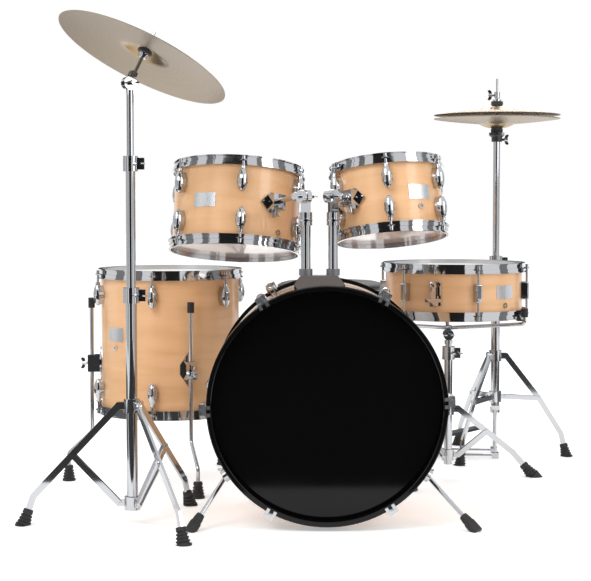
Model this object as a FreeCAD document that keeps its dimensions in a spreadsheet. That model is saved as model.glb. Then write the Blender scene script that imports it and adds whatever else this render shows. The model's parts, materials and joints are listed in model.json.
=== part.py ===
"""Acoustic drum kit: bass drum, two mounted toms, floor tom, snare, crash, hi-hat, pedal and throne.

Millimetres, +Z up, +X to the right as the audience sees the kit, +Y towards the drummer.
"""

import FreeCAD, Part
import Sketcher
import math
import operator
import os

doc = FreeCAD.newDocument("DrumKit")
sheet = doc.addObject("Spreadsheet::Sheet", "Sizes")

SIZES = [
    # where the kit's origin lies from the front of the bass drum hoop, on its axis
    ("origin_x", 10), ("origin_y", 617.235),
    # drums: shells, heads and hoops
    ("bass_radius", 254), ("bass_depth", 356), ("bass_axis_height", 276),
    ("tom_left_radius", 152.4), ("tom_left_depth", 188),
    ("tom_right_radius", 127), ("tom_right_depth", 162),
    ("floor_radius", 177.8), ("floor_depth", 350),
    ("snare_radius", 177.8), ("snare_depth", 120),
    ("shell_wall", 6), ("bass_wall", 7), ("edge_flat", 1.5),
    ("film", 0.8), ("flesh_width", 4.4), ("flesh_top", 3), ("flesh_depth", 6), ("head_gap", 0.4),
    ("hoop_gap", 2.2), ("hoop_wall", 2.3), ("hoop_rise", 15), ("hoop_skirt_gap", 5.3), ("hoop_skirt_low", 12), ("flange_low", 11), ("flange_top", 8),
    ("wood_hoop_in", 1.6), ("wood_hoop_wall", 11.4), ("wood_hoop_width", 36),
    # lugs and tension rods
    ("lugs", 6), ("rod_radius", 3), ("rod_gap", 0.4), ("rod_reach", 14), ("ear_width", 18),
    ("lug_radius", 12), ("lug_half_height", 28), ("lug_drop", 54), ("tom_left_lug_drop", 48),
    ("tom_right_lug_drop", 46),
    ("key_radius", 4), ("key_height", 8), ("washer_radius", 6), ("washer_height", 1.5),
    ("box_lug_width", 17), ("box_lug_height", 46), ("box_lug_depth", 20),
    ("claw_width", 24), ("claw_thickness", 2.5), ("claw_reach", 27), ("claw_lip", 9), ("claw_ear", 17),
    ("bass_lug_drop", 46),
    ("badge_width", 58), ("badge_height", 34), ("badge_thickness", 1.2), ("vent_radius", 7),
    # tom holder on the bass drum
    ("holder_back", 178), ("holder_x", -15), ("holder_rise", 28), ("holder_top_width", 84),
    ("holder_base_width", 116), ("holder_depth", 54), ("tube_spread", 31.4),
    ("post_radius", 11.1), ("post_length", 240), ("post_top", 687), ("collar_height", 15),
    ("tilter_height", 64), ("tilter_radius", 17), ("arm_radius", 6.5), ("slide_gap", 0.35),
    # bass drum spurs
    ("spur_bracket_angle", 36), ("spur_back", 80), ("spur_rod_radius", 5),
    ("spur_foot_left", 295), ("spur_foot_right", 320), ("spur_foot_front", 8),
    # wing screws
    ("wing_hub", 5.5), ("wing_span", 15), ("wing_thickness", 3), ("wing_stem", 3.5),
    # floor tom
    ("floor_x", -396), ("floor_y", 640), ("floor_top", 543), ("floor_leg_radius", 5),
    ("floor_leg_reach", 26), ("floor_leg_kick", 62), ("floor_leg_top", 470),
    # mounted toms
    ("left_x", -214), ("left_y", 406), ("left_z", 706), ("left_tilt", 10), ("left_roll", 2.5),
    ("right_x", 152.6), ("right_y", 325), ("right_z", 727), ("right_tilt", 10), ("right_roll", 4.5),
    # snare drum and its stand
    ("snare_x", 346), ("snare_y", 684), ("snare_bottom", 435), ("snare_stand_x", 333),
    ("snare_tube_top", 340), ("snare_tilter_z", 377), ("snare_tube_radius", 11), ("snare_inner_radius", 8.5),
    ("basket_rod", 5), ("basket_tip", 9),
    # stands
    ("leg_width", 15), ("leg_thickness", 6), ("brace_thickness", 2.4), ("pivot_radius", 2.5),
    ("pivot_gap", 0.35), ("foot_height", 40), ("foot_top", 11), ("foot_base", 17), ("tube_wall", 1.5),
    ("stand_tube_radius", 12.7), ("clamp_height", 34), ("clamp_wall", 6),
    ("crash_x", -438), ("crash_y", 80), ("crash_low_top", 529), ("crash_mid_top", 823),
    ("crash_mid_radius", 10.6), ("crash_top_radius", 8), ("crash_tilter_z", 991),
    ("crash_rod_length", 130), ("crash_seat", 88), ("crash_radius", 203), ("crash_lean", 27.6),
    ("crash_lean_bearing", 29),
    ("cymbal_thickness", 1.6), ("bell_radius", 52), ("bell_rise", 13), ("bow_rise", 13),
    ("cymbal_bore", 6.5), ("felt_radius", 17), ("felt_height", 12), ("felt_droop", 3.2),
    ("tilter_rod_radius", 4),
    ("hat_x", 501), ("hat_y", 1030), ("hat_tube_top", 566), ("hat_seat_z", 896),
    ("hat_cup_height", 26), ("hat_radius", 178),
    ("hat_inner_radius", 9.5), ("hat_rod_radius", 3), ("hat_rod_top", 1074), ("hat_opening", 12),
    ("hat_bearing", 175), ("hat_heel", 290), ("hat_tube_bottom", 150), ("strut_spread", 48),
    # throne
    ("throne_x", 33), ("throne_y", 1166), ("seat_radius", 160), ("seat_top", 496), ("seat_thickness", 84),
    ("throne_tube_radius", 14), ("throne_post_radius", 11), ("throne_tube_top", 330),
    # bass drum pedal
    ("pedal_width", 74), ("pedal_length", 285), ("board_thickness", 7), ("pedal_post_height", 150),
    ("pedal_post_spread", 46), ("beater_length", 150), ("beater_back", 42), ("beater_radius", 22),
    ("shaft_radius", 5), ("pedal_behind_hoop", 26),
]
for row, (alias, number) in enumerate(SIZES, 1):
    sheet.set(f"A{row}", alias)
    sheet.set(f"B{row}", str(number))
    sheet.setAlias(f"B{row}", alias)
doc.recompute()

OPERATIONS = {"+": operator.add, "-": operator.sub, "*": operator.mul, "/": operator.truediv}


class Size:
    """A number together with the sheet expression that gives it."""

    def __init__(self, text, value):
        self.text = text
        self.value = value

    def __float__(self):
        return float(self.value)

    def __add__(self, other):
        return combine(self, "+", other)

    def __radd__(self, other):
        return combine(other, "+", self)

    def __sub__(self, other):
        return combine(self, "-", other)

    def __rsub__(self, other):
        return combine(other, "-", self)

    def __mul__(self, other):
        return combine(self, "*", other)

    def __rmul__(self, other):
        return combine(other, "*", self)

    def __truediv__(self, other):
        return combine(self, "/", other)

    def __neg__(self):
        return combine(0, "-", self)


def combine(first, sign, second):
    """The size that an operation on two sizes or plain numbers gives."""
    a = first if isinstance(first, Size) else Size(f"{first:.6g}", first)
    b = second if isinstance(second, Size) else Size(f"{second:.6g}", second)
    return Size(f"({a.text} {sign} {b.text})", OPERATIONS[sign](a.value, b.value))


class Sheet:
    """Reads a cell of the sheet by its alias."""

    def __getattr__(self, alias):
        return Size("Sizes." + alias, float(sheet.get(alias)))


s = Sheet()
nodes = []


def vec(x, y=0, z=0):
    return FreeCAD.Vector(float(x), float(y), float(z))


def turn(axis, degrees):
    """A placement that turns about an axis through the origin."""
    return FreeCAD.Placement(vec(0), FreeCAD.Rotation(vec(*axis), float(degrees)))


def move(x, y=0, z=0):
    return FreeCAD.Placement(vec(x, y, z), FreeCAD.Rotation())


def stand_at(x, y, z=0):
    """A placement given from the bass drum's front hoop and axis, in the kit's own frame."""
    return move(float(x) - float(s.origin_x), float(y) - float(s.origin_y), z)


def along(start, end):
    """A placement at start whose +Z points to end."""
    return FreeCAD.Placement(vec(*start), FreeCAD.Rotation(vec(0, 0, 1), vec(*end) - vec(*start)))


def distance(start, end):
    return (vec(*end) - vec(*start)).Length


def bind(thing, name, size):
    """Sets a property from a size, and ties it to the sheet when the size comes from there."""
    setattr(thing, name, float(size))
    if isinstance(size, Size):
        thing.setExpression(name, size.text)


def cylinder(radius, height, place=None):
    thing = doc.addObject("Part::Cylinder", "Cylinder")
    bind(thing, "Radius", radius)
    bind(thing, "Height", height)
    thing.Placement = place or FreeCAD.Placement()
    return thing


def cone(low, high, height, place=None):
    thing = doc.addObject("Part::Cone", "Cone")
    bind(thing, "Radius1", low)
    bind(thing, "Radius2", high)
    bind(thing, "Height", height)
    thing.Placement = place or FreeCAD.Placement()
    return thing


def ball(radius, place=None):
    thing = doc.addObject("Part::Sphere", "Ball")
    bind(thing, "Radius", radius)
    thing.Placement = place or FreeCAD.Placement()
    return thing


def block(wide, deep, high, place=None):
    """A box centred on its place in X and Y, standing on it in Z."""
    thing = doc.addObject("Part::Box", "Block")
    bind(thing, "Length", wide)
    bind(thing, "Width", deep)
    bind(thing, "Height", high)
    thing.Placement = (place or FreeCAD.Placement()).multiply(move(-float(wide) / 2, -float(deep) / 2))
    return thing


def fuse(things):
    thing = doc.addObject("Part::MultiFuse", "Fuse")
    thing.Shapes = things
    thing.Refine = True
    return thing


def cut(base, tools):
    """Base less the tools."""
    thing = doc.addObject("Part::Cut", "Cut")
    thing.Base = base
    thing.Tool = tools[0] if len(tools) == 1 else fuse(tools)
    return thing


def common(first, second):
    thing = doc.addObject("Part::Common", "Common")
    thing.Base = first
    thing.Tool = second
    return thing


def copy(thing, place):
    """Another of the same thing, carried by a placement from where the first one lies."""
    link = doc.addObject("App::Link", "Copy")
    link.setLink(thing)
    link.Placement = place.multiply(thing.Placement)
    return link


def ring(thing, count, first, place=None):
    """Copies of a thing about the Z axis, the first at an angle from +X."""
    place = place or FreeCAD.Placement()
    step = 360 / int(float(count))
    angles = [float(first) + i * step for i in range(int(float(count)))]
    return [copy(thing, turn((0, 0, 1), angle).multiply(place)) for angle in angles]


def node(label, things, place=None):
    """A sub-part of one or more solids, with its name and its place in the kit."""
    thing = doc.addObject("Part::Compound", "Node")
    thing.Links = things
    thing.Label = label
    thing.Placement = place or FreeCAD.Placement()
    nodes.append(thing)
    return thing


def outlined_sketch(body, role, outline):
    """A closed sketch of straight lines on an origin plane, each corner tied to the sheet."""
    sketch = body.newObject("Sketcher::SketchObject", "Outline")
    plane = next(f for f in body.Origin.OriginFeatures if f.Role == role)
    sketch.AttachmentSupport = [(plane, "")]
    sketch.MapMode = "FlatFace"
    corners = [vec(x, y) for x, y in outline]
    lines = [Part.LineSegment(a, b) for a, b in zip(corners, corners[1:] + corners[:1])]
    sketch.addGeometry(lines, False)
    for i in range(len(lines)):
        sketch.addConstraint(Sketcher.Constraint("Coincident", i, 2, (i + 1) % len(lines), 1))
    for i, corner in enumerate(outline):
        for kind, size, axis in (("DistanceX", corner[0], -2), ("DistanceY", corner[1], -1)):
            if abs(float(size)) < 1e-9:
                sketch.addConstraint(Sketcher.Constraint("PointOnObject", i, 1, axis))
                continue
            rule = Sketcher.Constraint(kind, -1, 1, i, 1, float(size))
            number = sketch.addConstraint(rule)
            if isinstance(size, Size):
                sketch.setExpression(f"Constraints[{number}]", size.text)
    return sketch


def turned(outline):
    """A body turned about Z from an outline of (radius, height) corners."""
    body = doc.addObject("PartDesign::Body", "Turned")
    sketch = outlined_sketch(body, "XZ_Plane", outline)
    revolution = body.newObject("PartDesign::Revolution", "Revolution")
    revolution.Profile = sketch
    revolution.ReferenceAxis = (sketch, ["V_Axis"])
    revolution.Angle = 360
    return body


def plate(outline, thickness, role="XY_Plane"):
    """A body of even thickness, padded both ways from an origin plane."""
    body = doc.addObject("PartDesign::Body", "Plate")
    pad = body.newObject("PartDesign::Pad", "Pad")
    pad.Profile = outlined_sketch(body, role, outline)
    bind(pad, "Length", thickness)
    pad.Midplane = True
    return body


def tube(outer, inner, bottom, top):
    return turned([(inner, bottom), (outer, bottom), (outer, top), (inner, top)])


def shape(solid):
    """A piece whose solid is made directly from sizes read from the sheet."""
    thing = doc.addObject("Part::Feature", "Shape")
    thing.Shape = solid
    return thing


def bent_rod(points, radius, bend):
    """A round rod along straight runs, with an arc of the same radius at each bend."""
    points = [vec(*p) for p in points]
    edges = []
    start = points[0]
    for before, corner, after in zip(points, points[1:], points[2:]):
        come = (before - corner).normalize()
        go = (after - corner).normalize()
        half = come.getAngle(go) / 2
        reach = float(bend) / math.tan(half)
        first = corner + come * reach
        last = corner + go * reach
        middle = corner + (come + go).normalize() * (float(bend) / math.sin(half) - float(bend))
        edges.append(Part.LineSegment(start, first).toShape())
        edges.append(Part.Arc(first, middle, last).toShape())
        start = last
    edges.append(Part.LineSegment(start, points[-1]).toShape())
    section = Part.Wire([Part.makeCircle(float(radius), points[0], points[1] - points[0])])
    return shape(Part.Wire(edges).makePipeShell([section], True, False))


def strip(points, width, thickness, holes=()):
    """A flat bar in the XZ plane with round ends and bends, drilled across at the given points."""
    half = float(width) / 2
    deep = float(thickness)
    solids = []
    for x, z in points:
        solids.append(Part.makeCylinder(half, deep, vec(x, -deep / 2, z), vec(0, 1, 0)))
    for (x0, z0), (x1, z1) in zip(points, points[1:]):
        a, b = vec(x0, -deep / 2, z0), vec(x1, -deep / 2, z1)
        side = (b - a).normalize().cross(vec(0, 1, 0)) * half
        face = Part.Face(Part.makePolygon([a + side, b + side, b - side, a - side, a + side]))
        solids.append(face.extrude(vec(0, deep, 0)))
    bar = solids[0].multiFuse(solids[1:]).removeSplitter()
    for x, z in holes:
        drill = float(s.pivot_radius) + float(s.pivot_gap)
        bar = bar.cut(Part.makeCylinder(drill, deep * 2, vec(x, -deep, z), vec(0, 1, 0)))
    return bar


# ---------------------------------------------------------------- small hardware

def wing_screw():
    """A wing screw whose stem starts at the origin and points along +Z."""
    stem = cylinder(s.wing_stem, 6)
    hub = cone(s.wing_hub, s.wing_hub - 1.5, 10, move(0, 0, 6))
    wings = []
    for side in (1, -1):
        wing = plate([(2, 0), (s.wing_span - 3, 3), (s.wing_span, 9), (s.wing_span - 3, 13), (3, 8)],
                     s.wing_thickness, "XZ_Plane")
        wings.append(copy(wing, move(0, 0, 6) if side == 1
                          else move(0, 0, 6).multiply(turn((0, 0, 1), 180))))
    return fuse([stem, hub] + wings)


def key_bolt(length):
    """A tension rod with its washer and square key head, the washer's underside at the origin."""
    rod = cylinder(s.rod_radius, length, move(0, 0, -float(length)))
    washer = cylinder(s.washer_radius, s.washer_height)
    head = cylinder(s.key_radius, s.key_height, move(0, 0, s.washer_height))
    return fuse([rod, washer, head])


WING = wing_screw()


def ear():
    """The lug ear of a pressed hoop, with its rod hole, on the X axis from the drum's wall."""
    length = s.rod_reach + s.rod_radius + 4
    half = s.ear_width / 2
    outline = [(s.hoop_gap + 1, -half), (length - 5, -half), (length, 5 - half), (length, half - 5),
               (length - 5, half), (s.hoop_gap + 1, half)]
    hole = cylinder(s.rod_radius + s.rod_gap, 20, move(s.rod_reach, 0, -10))
    return cut(plate(outline, s.hoop_wall), [hole])


def oval_lug(rod_at):
    """A teardrop lug on a shell: its flat back is the YZ plane, and a rod goes in from above."""
    high, wide = s.lug_half_height, s.lug_radius
    steps = 8
    corners = [(0, -high)]
    for i in range(1, steps):
        angle = math.radians(180 * i / steps)
        corners.append((wide * math.sin(angle), high * -math.cos(angle)))
    corners.append((0, high))
    spindle = copy(turned(corners), move(rod_at))
    outline = [(-wide, -high * 0.3), (-wide * 0.4, -high * 0.85), (wide * 0.4, -high * 0.85),
               (wide, -high * 0.3), (wide, high * 0.3), (wide * 0.4, high * 0.85),
               (-wide * 0.4, high * 0.85), (-wide, high * 0.3)]
    back = copy(plate(outline, rod_at, "YZ_Plane"), move(rod_at / 2))
    neck = cylinder(s.rod_radius + 3, high + 4, move(rod_at))
    hole = cylinder(s.rod_radius + s.rod_gap, 60, move(rod_at, 0, -6))
    return cut(fuse([spindle, back, neck]), [hole])


def box_lug():
    """A small two-ended lug of a snare drum, drilled right through for a rod from each end."""
    body = block(s.box_lug_depth, s.box_lug_width, s.box_lug_height,
                 move(s.box_lug_depth / 2, 0, -s.box_lug_height / 2))
    rounded = doc.addObject("Part::Fillet", "Rounded")
    rounded.Base = body
    doc.recompute()
    edges = [i for i, edge in enumerate(body.Shape.Edges, 1) if edge.CenterOfMass.x > 1]
    rounded.Edges = [(i, 3.5, 3.5) for i in edges]
    hole = cylinder(s.rod_radius + s.rod_gap, 80, move(s.rod_reach, 0, -40))
    return cut(rounded, [hole])


def badge(radius, vent_turn=0, vent_z=-34):
    """A bare badge plate on the X axis at a shell's wall, and the air vent's ring by it."""
    outer = cylinder(radius + s.badge_thickness + 0.1, s.badge_height, move(0, 0, -s.badge_height / 2))
    inner = cylinder(radius + 0.1, s.badge_height + 4, move(0, 0, -s.badge_height / 2 - 2))
    window = block(60, s.badge_width, s.badge_height + 8,
                   move(radius, 0, -s.badge_height / 2 - 4))
    bare = common(cut(outer, [inner]), window)
    vent = cylinder(s.vent_radius, 2.5, move(radius, 0, vent_z).multiply(turn((0, 1, 0), 90)))
    hole = cylinder(s.vent_radius - 3, 8, move(radius - 2, 0, vent_z).multiply(turn((0, 1, 0), 90)))
    return [bare, copy(cut(vent, [hole]), turn((0, 0, 1), vent_turn))]


# ---------------------------------------------------------------- drums

def shell(radius, wall, half):
    """A ply shell with a 45 degree bearing edge at each end."""
    slope = wall - s.edge_flat
    return turned([
        (radius, half), (radius - s.edge_flat, half), (radius - wall, half - slope),
        (radius - wall, -half + slope), (radius - s.edge_flat, -half), (radius, -half),
    ])


def head(radius, edge, sign):
    """A drum head: a film over the bearing edge, and its flesh hoop outside the shell."""
    inner = radius + s.head_gap
    outer = inner + s.flesh_width
    rim = inner + s.film
    low = -s.flesh_top - s.flesh_depth
    corners = [(0, 0), (inner, 0), (inner, low), (outer, low), (outer, -s.flesh_top),
               (rim, -s.flesh_top), (rim, s.film - 0.4), (rim - 0.4, s.film), (0, s.film)]
    return turned([(r, edge + sign * z) for r, z in corners])


def pressed_hoop(radius, edge, sign, first):
    """A triple-flanged steel hoop: it presses on the flesh hoop, its skirt hides it, and it has ears."""
    inner = radius + s.hoop_gap
    base = -s.flesh_top
    top = base + s.hoop_rise
    skirt = radius + s.hoop_skirt_gap
    corners = [
        (inner, base), (skirt, base), (skirt, -s.hoop_skirt_low),
        (radius + s.flange_low, -s.hoop_skirt_low), (radius + s.flange_low, s.hoop_wall - s.hoop_skirt_low),
        (skirt + s.hoop_wall, s.hoop_wall - s.hoop_skirt_low), (skirt + s.hoop_wall, base + s.hoop_wall),
        (inner + s.hoop_wall, base + s.hoop_wall), (inner + s.hoop_wall, top - s.hoop_wall),
        (radius + s.flange_top, top - s.hoop_wall), (radius + s.flange_top, top), (inner, top),
    ]
    body = turned([(r, edge + sign * z) for r, z in corners])
    height = edge + sign * (base + s.hoop_wall / 2)
    return fuse([body] + ring(ear(), s.lugs, first, move(radius, 0, height)))


def tensioned(radius, half, first, lug, lug_height, rod):
    """Lugs and tension rods of one end of a drum, built for its upper end."""
    seat = half - s.flesh_top + s.hoop_wall
    lugs = ring(lug, s.lugs, first, move(radius, 0, lug_height))
    rods = ring(rod, s.lugs, first, move(radius + s.rod_reach, 0, seat))
    return lugs + rods


UPSIDE_DOWN = turn((1, 0, 0), 180)


def upside_down(things):
    """The same things on the other end of the drum."""
    return [copy(thing, UPSIDE_DOWN) for thing in things]


def drum(name, radius, depth, first, badge_at, place, drop, badge_rise=0, vent_turn=0, vent_z=-34):
    """A tom: shell, heads, hoops and lugs, all about the drum's own centre."""
    half = depth / 2
    node(name + "_shell", [shell(radius, s.shell_wall, half)], place)
    node(name + "_heads", [head(radius, half, 1), head(radius, -half, -1)], place)
    node(name + "_hoops", [pressed_hoop(radius, half, 1, first), pressed_hoop(radius, -half, -1, first)],
         place)
    rod = key_bolt(drop - s.lug_half_height + 12)
    # the lug is drilled from above, and the lower row is the upper one turned over
    upper = tensioned(radius, half, first, oval_lug(s.rod_reach), half - drop, rod)
    lower = tensioned(radius, half, -float(first), oval_lug(s.rod_reach), half - drop, rod)
    plates = [copy(piece, turn((0, 0, 1), badge_at).multiply(move(0, 0, badge_rise)))
              for piece in badge(radius, vent_turn, vent_z)]
    node(name + "_lugs", upper + upside_down(lower) + plates, place)


def bass_drum():
    """The bass drum lies along Y; its own Z points to the audience."""
    radius, half = s.bass_radius, s.bass_depth / 2
    stand = s.wood_hoop_width - s.flesh_top
    place = stand_at(0, stand + half, s.bass_axis_height).multiply(turn((1, 0, 0), 90))
    holes = []
    for side in (-1, 1):
        x = s.holder_x + side * s.tube_spread
        along_drum = half + stand - s.holder_back
        drill = cylinder(s.post_radius + 1, 80, move(x, radius - 40, along_drum).multiply(
            turn((1, 0, 0), -90)))
        holes.append(drill)
    node("bass_shell", [cut(shell(radius, s.bass_wall, half), holes)], place)
    node("bass_heads", [head(radius, half, 1), head(radius, -half, -1)], place)
    hoop_in = radius + s.wood_hoop_in
    hoop_out = hoop_in + s.wood_hoop_wall
    low = half - s.flesh_top
    high = half - s.flesh_top + s.wood_hoop_width
    hoops = [
        turned([(hoop_in, sign * low), (hoop_out, sign * low), (hoop_out, sign * (high - 2)),
                (hoop_out - 2, sign * high), (hoop_in + 2, sign * high), (hoop_in, sign * (high - 2))])
        for sign in (1, -1)
    ]
    node("bass_hoops", hoops, place)

    # a claw hooks over the hoop's edge; its ear holds the rod outside the hoop
    out = s.claw_thickness + 0.3
    ear_end = 0.3 + s.claw_ear
    profile = [
        (-s.claw_lip, 0), (0.3, 0), (0.3, -s.claw_reach), (ear_end, -s.claw_reach),
        (ear_end, s.claw_thickness - s.claw_reach), (out, s.claw_thickness - s.claw_reach),
        (out, s.claw_thickness), (-s.claw_lip, s.claw_thickness),
    ]
    ear_centre = out + s.washer_radius + 0.3
    fork = block(40, 9, 20, move(10, 0, -14))
    rod_hole = cylinder(s.rod_radius + s.rod_gap, 30, move(ear_centre, 0, -40))
    claw = cut(plate(profile, s.claw_width, "XZ_Plane"), [fork, rod_hole])
    rod_circle = hoop_out + ear_centre
    seat = high - s.claw_reach + s.claw_thickness
    lug_height = half - s.bass_lug_drop
    rod = key_bolt(seat - lug_height - s.lug_half_height + 14)
    first = 62
    claws = ring(claw, s.lugs, first, move(hoop_out, 0, high))
    rods = ring(rod, s.lugs, first, move(rod_circle, 0, seat))
    lug = oval_lug(ear_centre + s.wood_hoop_in + s.wood_hoop_wall)
    lugs = ring(lug, s.lugs, first, move(radius, 0, lug_height))
    # the rear row is the front one turned over about the vertical
    rear = turn((0, 1, 0), 180)
    node("bass_claws", claws + rods + [copy(piece, rear) for piece in claws + rods], place)
    node("bass_lugs", lugs + [copy(lug, rear) for lug in lugs], place)


def tom_holder():
    """The holder on top of the bass drum, with a receiver and a wing screw for each tom tube."""
    top = s.bass_axis_height + s.bass_radius + s.holder_rise
    low = s.holder_rise + 22
    outline = [(-s.holder_base_width / 2, -low), (s.holder_base_width / 2, -low),
               (s.holder_base_width / 2, 8 - s.holder_rise), (s.holder_top_width / 2, 0),
               (-s.holder_top_width / 2, 0), (-s.holder_base_width / 2, 8 - s.holder_rise)]
    body = plate(outline, s.holder_depth, "XZ_Plane")
    shell_room = cylinder(s.bass_radius + 0.2, 200, move(-s.holder_x, 100, top * -1 + s.bass_axis_height)
                          .multiply(turn((1, 0, 0), 90)))
    receivers, bores, screws = [], [], []
    for side in (-1, 1):
        x = side * s.tube_spread
        receivers.append(cylinder(s.post_radius + 4.5, s.collar_height, move(x, 0, 0)))
        bores.append(cylinder(s.post_radius + s.slide_gap, 120, move(x, 0, -80)))
        reach = s.holder_depth / 2
        screws.append(copy(WING, move(x, reach, -12).multiply(turn((1, 0, 0), -90))))
    casting = cut(fuse([body] + receivers), [shell_room] + bores)
    node("tom_holder", [casting] + screws, stand_at(s.holder_x, s.holder_back, top))


def tom_place(x, y, z, tilt, roll):
    """Where a mounted tom's centre is, leaning to the drummer and to the kit's middle."""
    return stand_at(x, y, z).multiply(turn((0, 1, 0), roll)).multiply(turn((1, 0, 0), -tilt))


def tom_bracket(name, place, radius, side):
    """The diamond bracket on a tom's shell, and the arm from it to the tilter of its post."""
    x = float(s.holder_x + side * s.tube_spread)
    pivot = stand_at(x, s.holder_back, s.post_top + s.tilter_height - 12).Base
    local = place.inverse().multVec(pivot)
    bearing = math.degrees(math.atan2(local.y, local.x))
    turned_in = turn((0, 0, 1), bearing)
    inside = turned_in.inverse().multVec(local)
    rise = inside.z
    r = float(radius)
    back = plate([(-34, 0), (-10, -24), (10, -24), (34, 0), (10, 24), (-10, 24)], 4, "YZ_Plane")
    casting = block(26, 34, 36, move(r + 17.2, 0, rise - 18))
    screw = copy(WING, move(r + 17.2, 0, rise - 18).multiply(turn((1, 0, 0), 180)))
    bolts = [cylinder(4, 3, move(r + 4.2, y, rise).multiply(turn((0, 1, 0), 90))) for y in (-25, 25)]
    # the ratchet ring stands level beside the post's own, and a ball joins it to the arm
    towards = place.Base - pivot
    level = FreeCAD.Placement(pivot, FreeCAD.Rotation(vec(0, 0, 1), math.degrees(
        math.atan2(towards.y, towards.x))))
    in_bracket = turned_in.inverse().multiply(place.inverse()).multiply(level)
    ball_at = in_bracket.multVec(vec(30, 8, 0))
    start = vec(r + 12, 0, rise)
    arm = cylinder(s.arm_radius, (ball_at - start).Length, along(start, ball_at))
    eye = cylinder(15, 12, in_bracket.multiply(move(0, 18.3)).multiply(turn((1, 0, 0), 90)))
    neck = block(22, 12, 12, in_bracket.multiply(move(19, 12.3, -6)))
    bolt_room = cylinder(4.6, 40, in_bracket.multiply(move(0, 30)).multiply(turn((1, 0, 0), 90)))
    tilting = cut(fuse([arm, eye, neck, ball(10.5, FreeCAD.Placement(ball_at, FreeCAD.Rotation()))]),
                  [bolt_room])
    bore = cylinder(s.arm_radius + 0.2, 60, along(start, ball_at))
    pieces = [copy(back, move(r + 2.2, 0, rise)), cut(casting, [bore]), tilting, screw] + bolts
    node(name + "_bracket", [copy(piece, turned_in) for piece in pieces], place)
    return pivot, level.Rotation.multVec(vec(0, 1, 0))


def tom_post(name, side, pivot, axis):
    """A tom tube with its ratchet tilter: it slides in the holder."""
    x = float(s.holder_x + side * s.tube_spread)
    top = float(s.post_top)
    body = tube(s.post_radius, s.post_radius - s.tube_wall, s.post_top - s.post_length, s.post_top)
    socket = cylinder(s.post_radius + 3.5, 30, move(0, 0, top - 14))
    base = stand_at(x, s.holder_back, 0)
    height = pivot.z
    flat = math.degrees(math.atan2(axis.y, axis.x)) - 90
    frame = move(0, 0, height).multiply(turn((0, 0, 1), flat))
    disc = cylinder(s.tilter_radius, 12, frame.multiply(move(0, 6, 0)).multiply(turn((1, 0, 0), 90)))
    neck = block(22, 12, height - top - 6, move(0, 0, top + 10).multiply(turn((0, 0, 1), flat)))
    bolt = cylinder(4.2, 19, frame.multiply(move(0, 24.5, 0)).multiply(turn((1, 0, 0), 90)))
    screw = copy(WING, frame.multiply(move(0, -6, 0)).multiply(turn((1, 0, 0), 90)))
    bore = cylinder(s.post_radius, 14, move(0, 0, top - 14))
    tilter = cut(fuse([socket, disc, neck, bolt]), [bore])
    clamp = copy(WING, move(0, -float(s.post_radius) - 3.5, top - 2).multiply(turn((1, 0, 0), 90)))
    node(name + "_post", [body, tilter, screw, clamp], base)


def leg_bracket():
    """A diamond bracket of the floor tom, drilled for its leg, with a wing screw."""
    back = plate([(-44, 0), (-12, -22), (12, -22), (44, 0), (12, 22), (-12, 22)], 4, "YZ_Plane")
    turned_back = copy(back, turn((1, 0, 0), 90).multiply(move(2, 0, 0)))
    boss = block(32, 28, 44, move(4 + 16, 0, -22))
    hole = cylinder(s.floor_leg_radius + s.slide_gap, 80, move(s.floor_leg_reach, 0, -40))
    screw = copy(WING, move(36, 0, 0).multiply(turn((0, 1, 0), 90)))
    return [turned_back, cut(boss, [hole]), screw]


def floor_tom():
    radius, half = s.floor_radius, s.floor_depth / 2
    place = stand_at(s.floor_x, s.floor_y, s.floor_top - half)
    drum("floor_tom", radius, s.floor_depth, -99, -136, place, s.lug_drop, 24)
    angles = (-71, 62, 182)
    low = -60
    brackets = []
    for angle in angles:
        for piece in leg_bracket():
            brackets.append(copy(piece, turn((0, 0, 1), angle).multiply(move(radius, 0, low))))
    node("floor_tom_leg_brackets", brackets, place)
    r = radius + s.floor_leg_reach
    foot = r + s.floor_leg_kick
    path = [(r, 0, s.floor_leg_top), (r, 0, 130), (foot, 0, 72), (foot, 0, 10)]
    legs = []
    rod = bent_rod(path, s.floor_leg_radius, 16)
    rubber = ribbed_foot(s.floor_leg_radius)
    tip = cut(cylinder(8.5, 26), [cylinder(s.floor_leg_radius, 18)])
    for angle in angles:
        swing = turn((0, 0, 1), angle)
        legs.append(copy(rod, swing))
        legs.append(copy(rubber, swing.multiply(move(foot))))
        legs.append(copy(tip, swing.multiply(move(r, 0, float(s.floor_leg_top) - 18))))
    node("floor_tom_legs", legs, stand_at(s.floor_x, s.floor_y))


# ---------------------------------------------------------------- feet and tripods

def ribbed_foot(bore):
    """A ribbed rubber foot standing on the floor, with a round socket for a rod."""
    corners = [(0, 0), (s.foot_base, 0), (s.foot_base, 5)]
    for i in range(1, 5):
        z = 5 + i * (s.foot_height - 8) / 4.4
        r = s.foot_base + (s.foot_top - s.foot_base) * (i / 4.5)
        corners += [(r - 1.8, z - 5), (r - 1.8, z - 2.6), (r, z - 2.2), (r, z)]
    corners += [(s.foot_top, s.foot_height), (0, s.foot_height)]
    return cut(turned(corners), [cylinder(bore, s.foot_height, move(0, 0, 10))])


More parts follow.
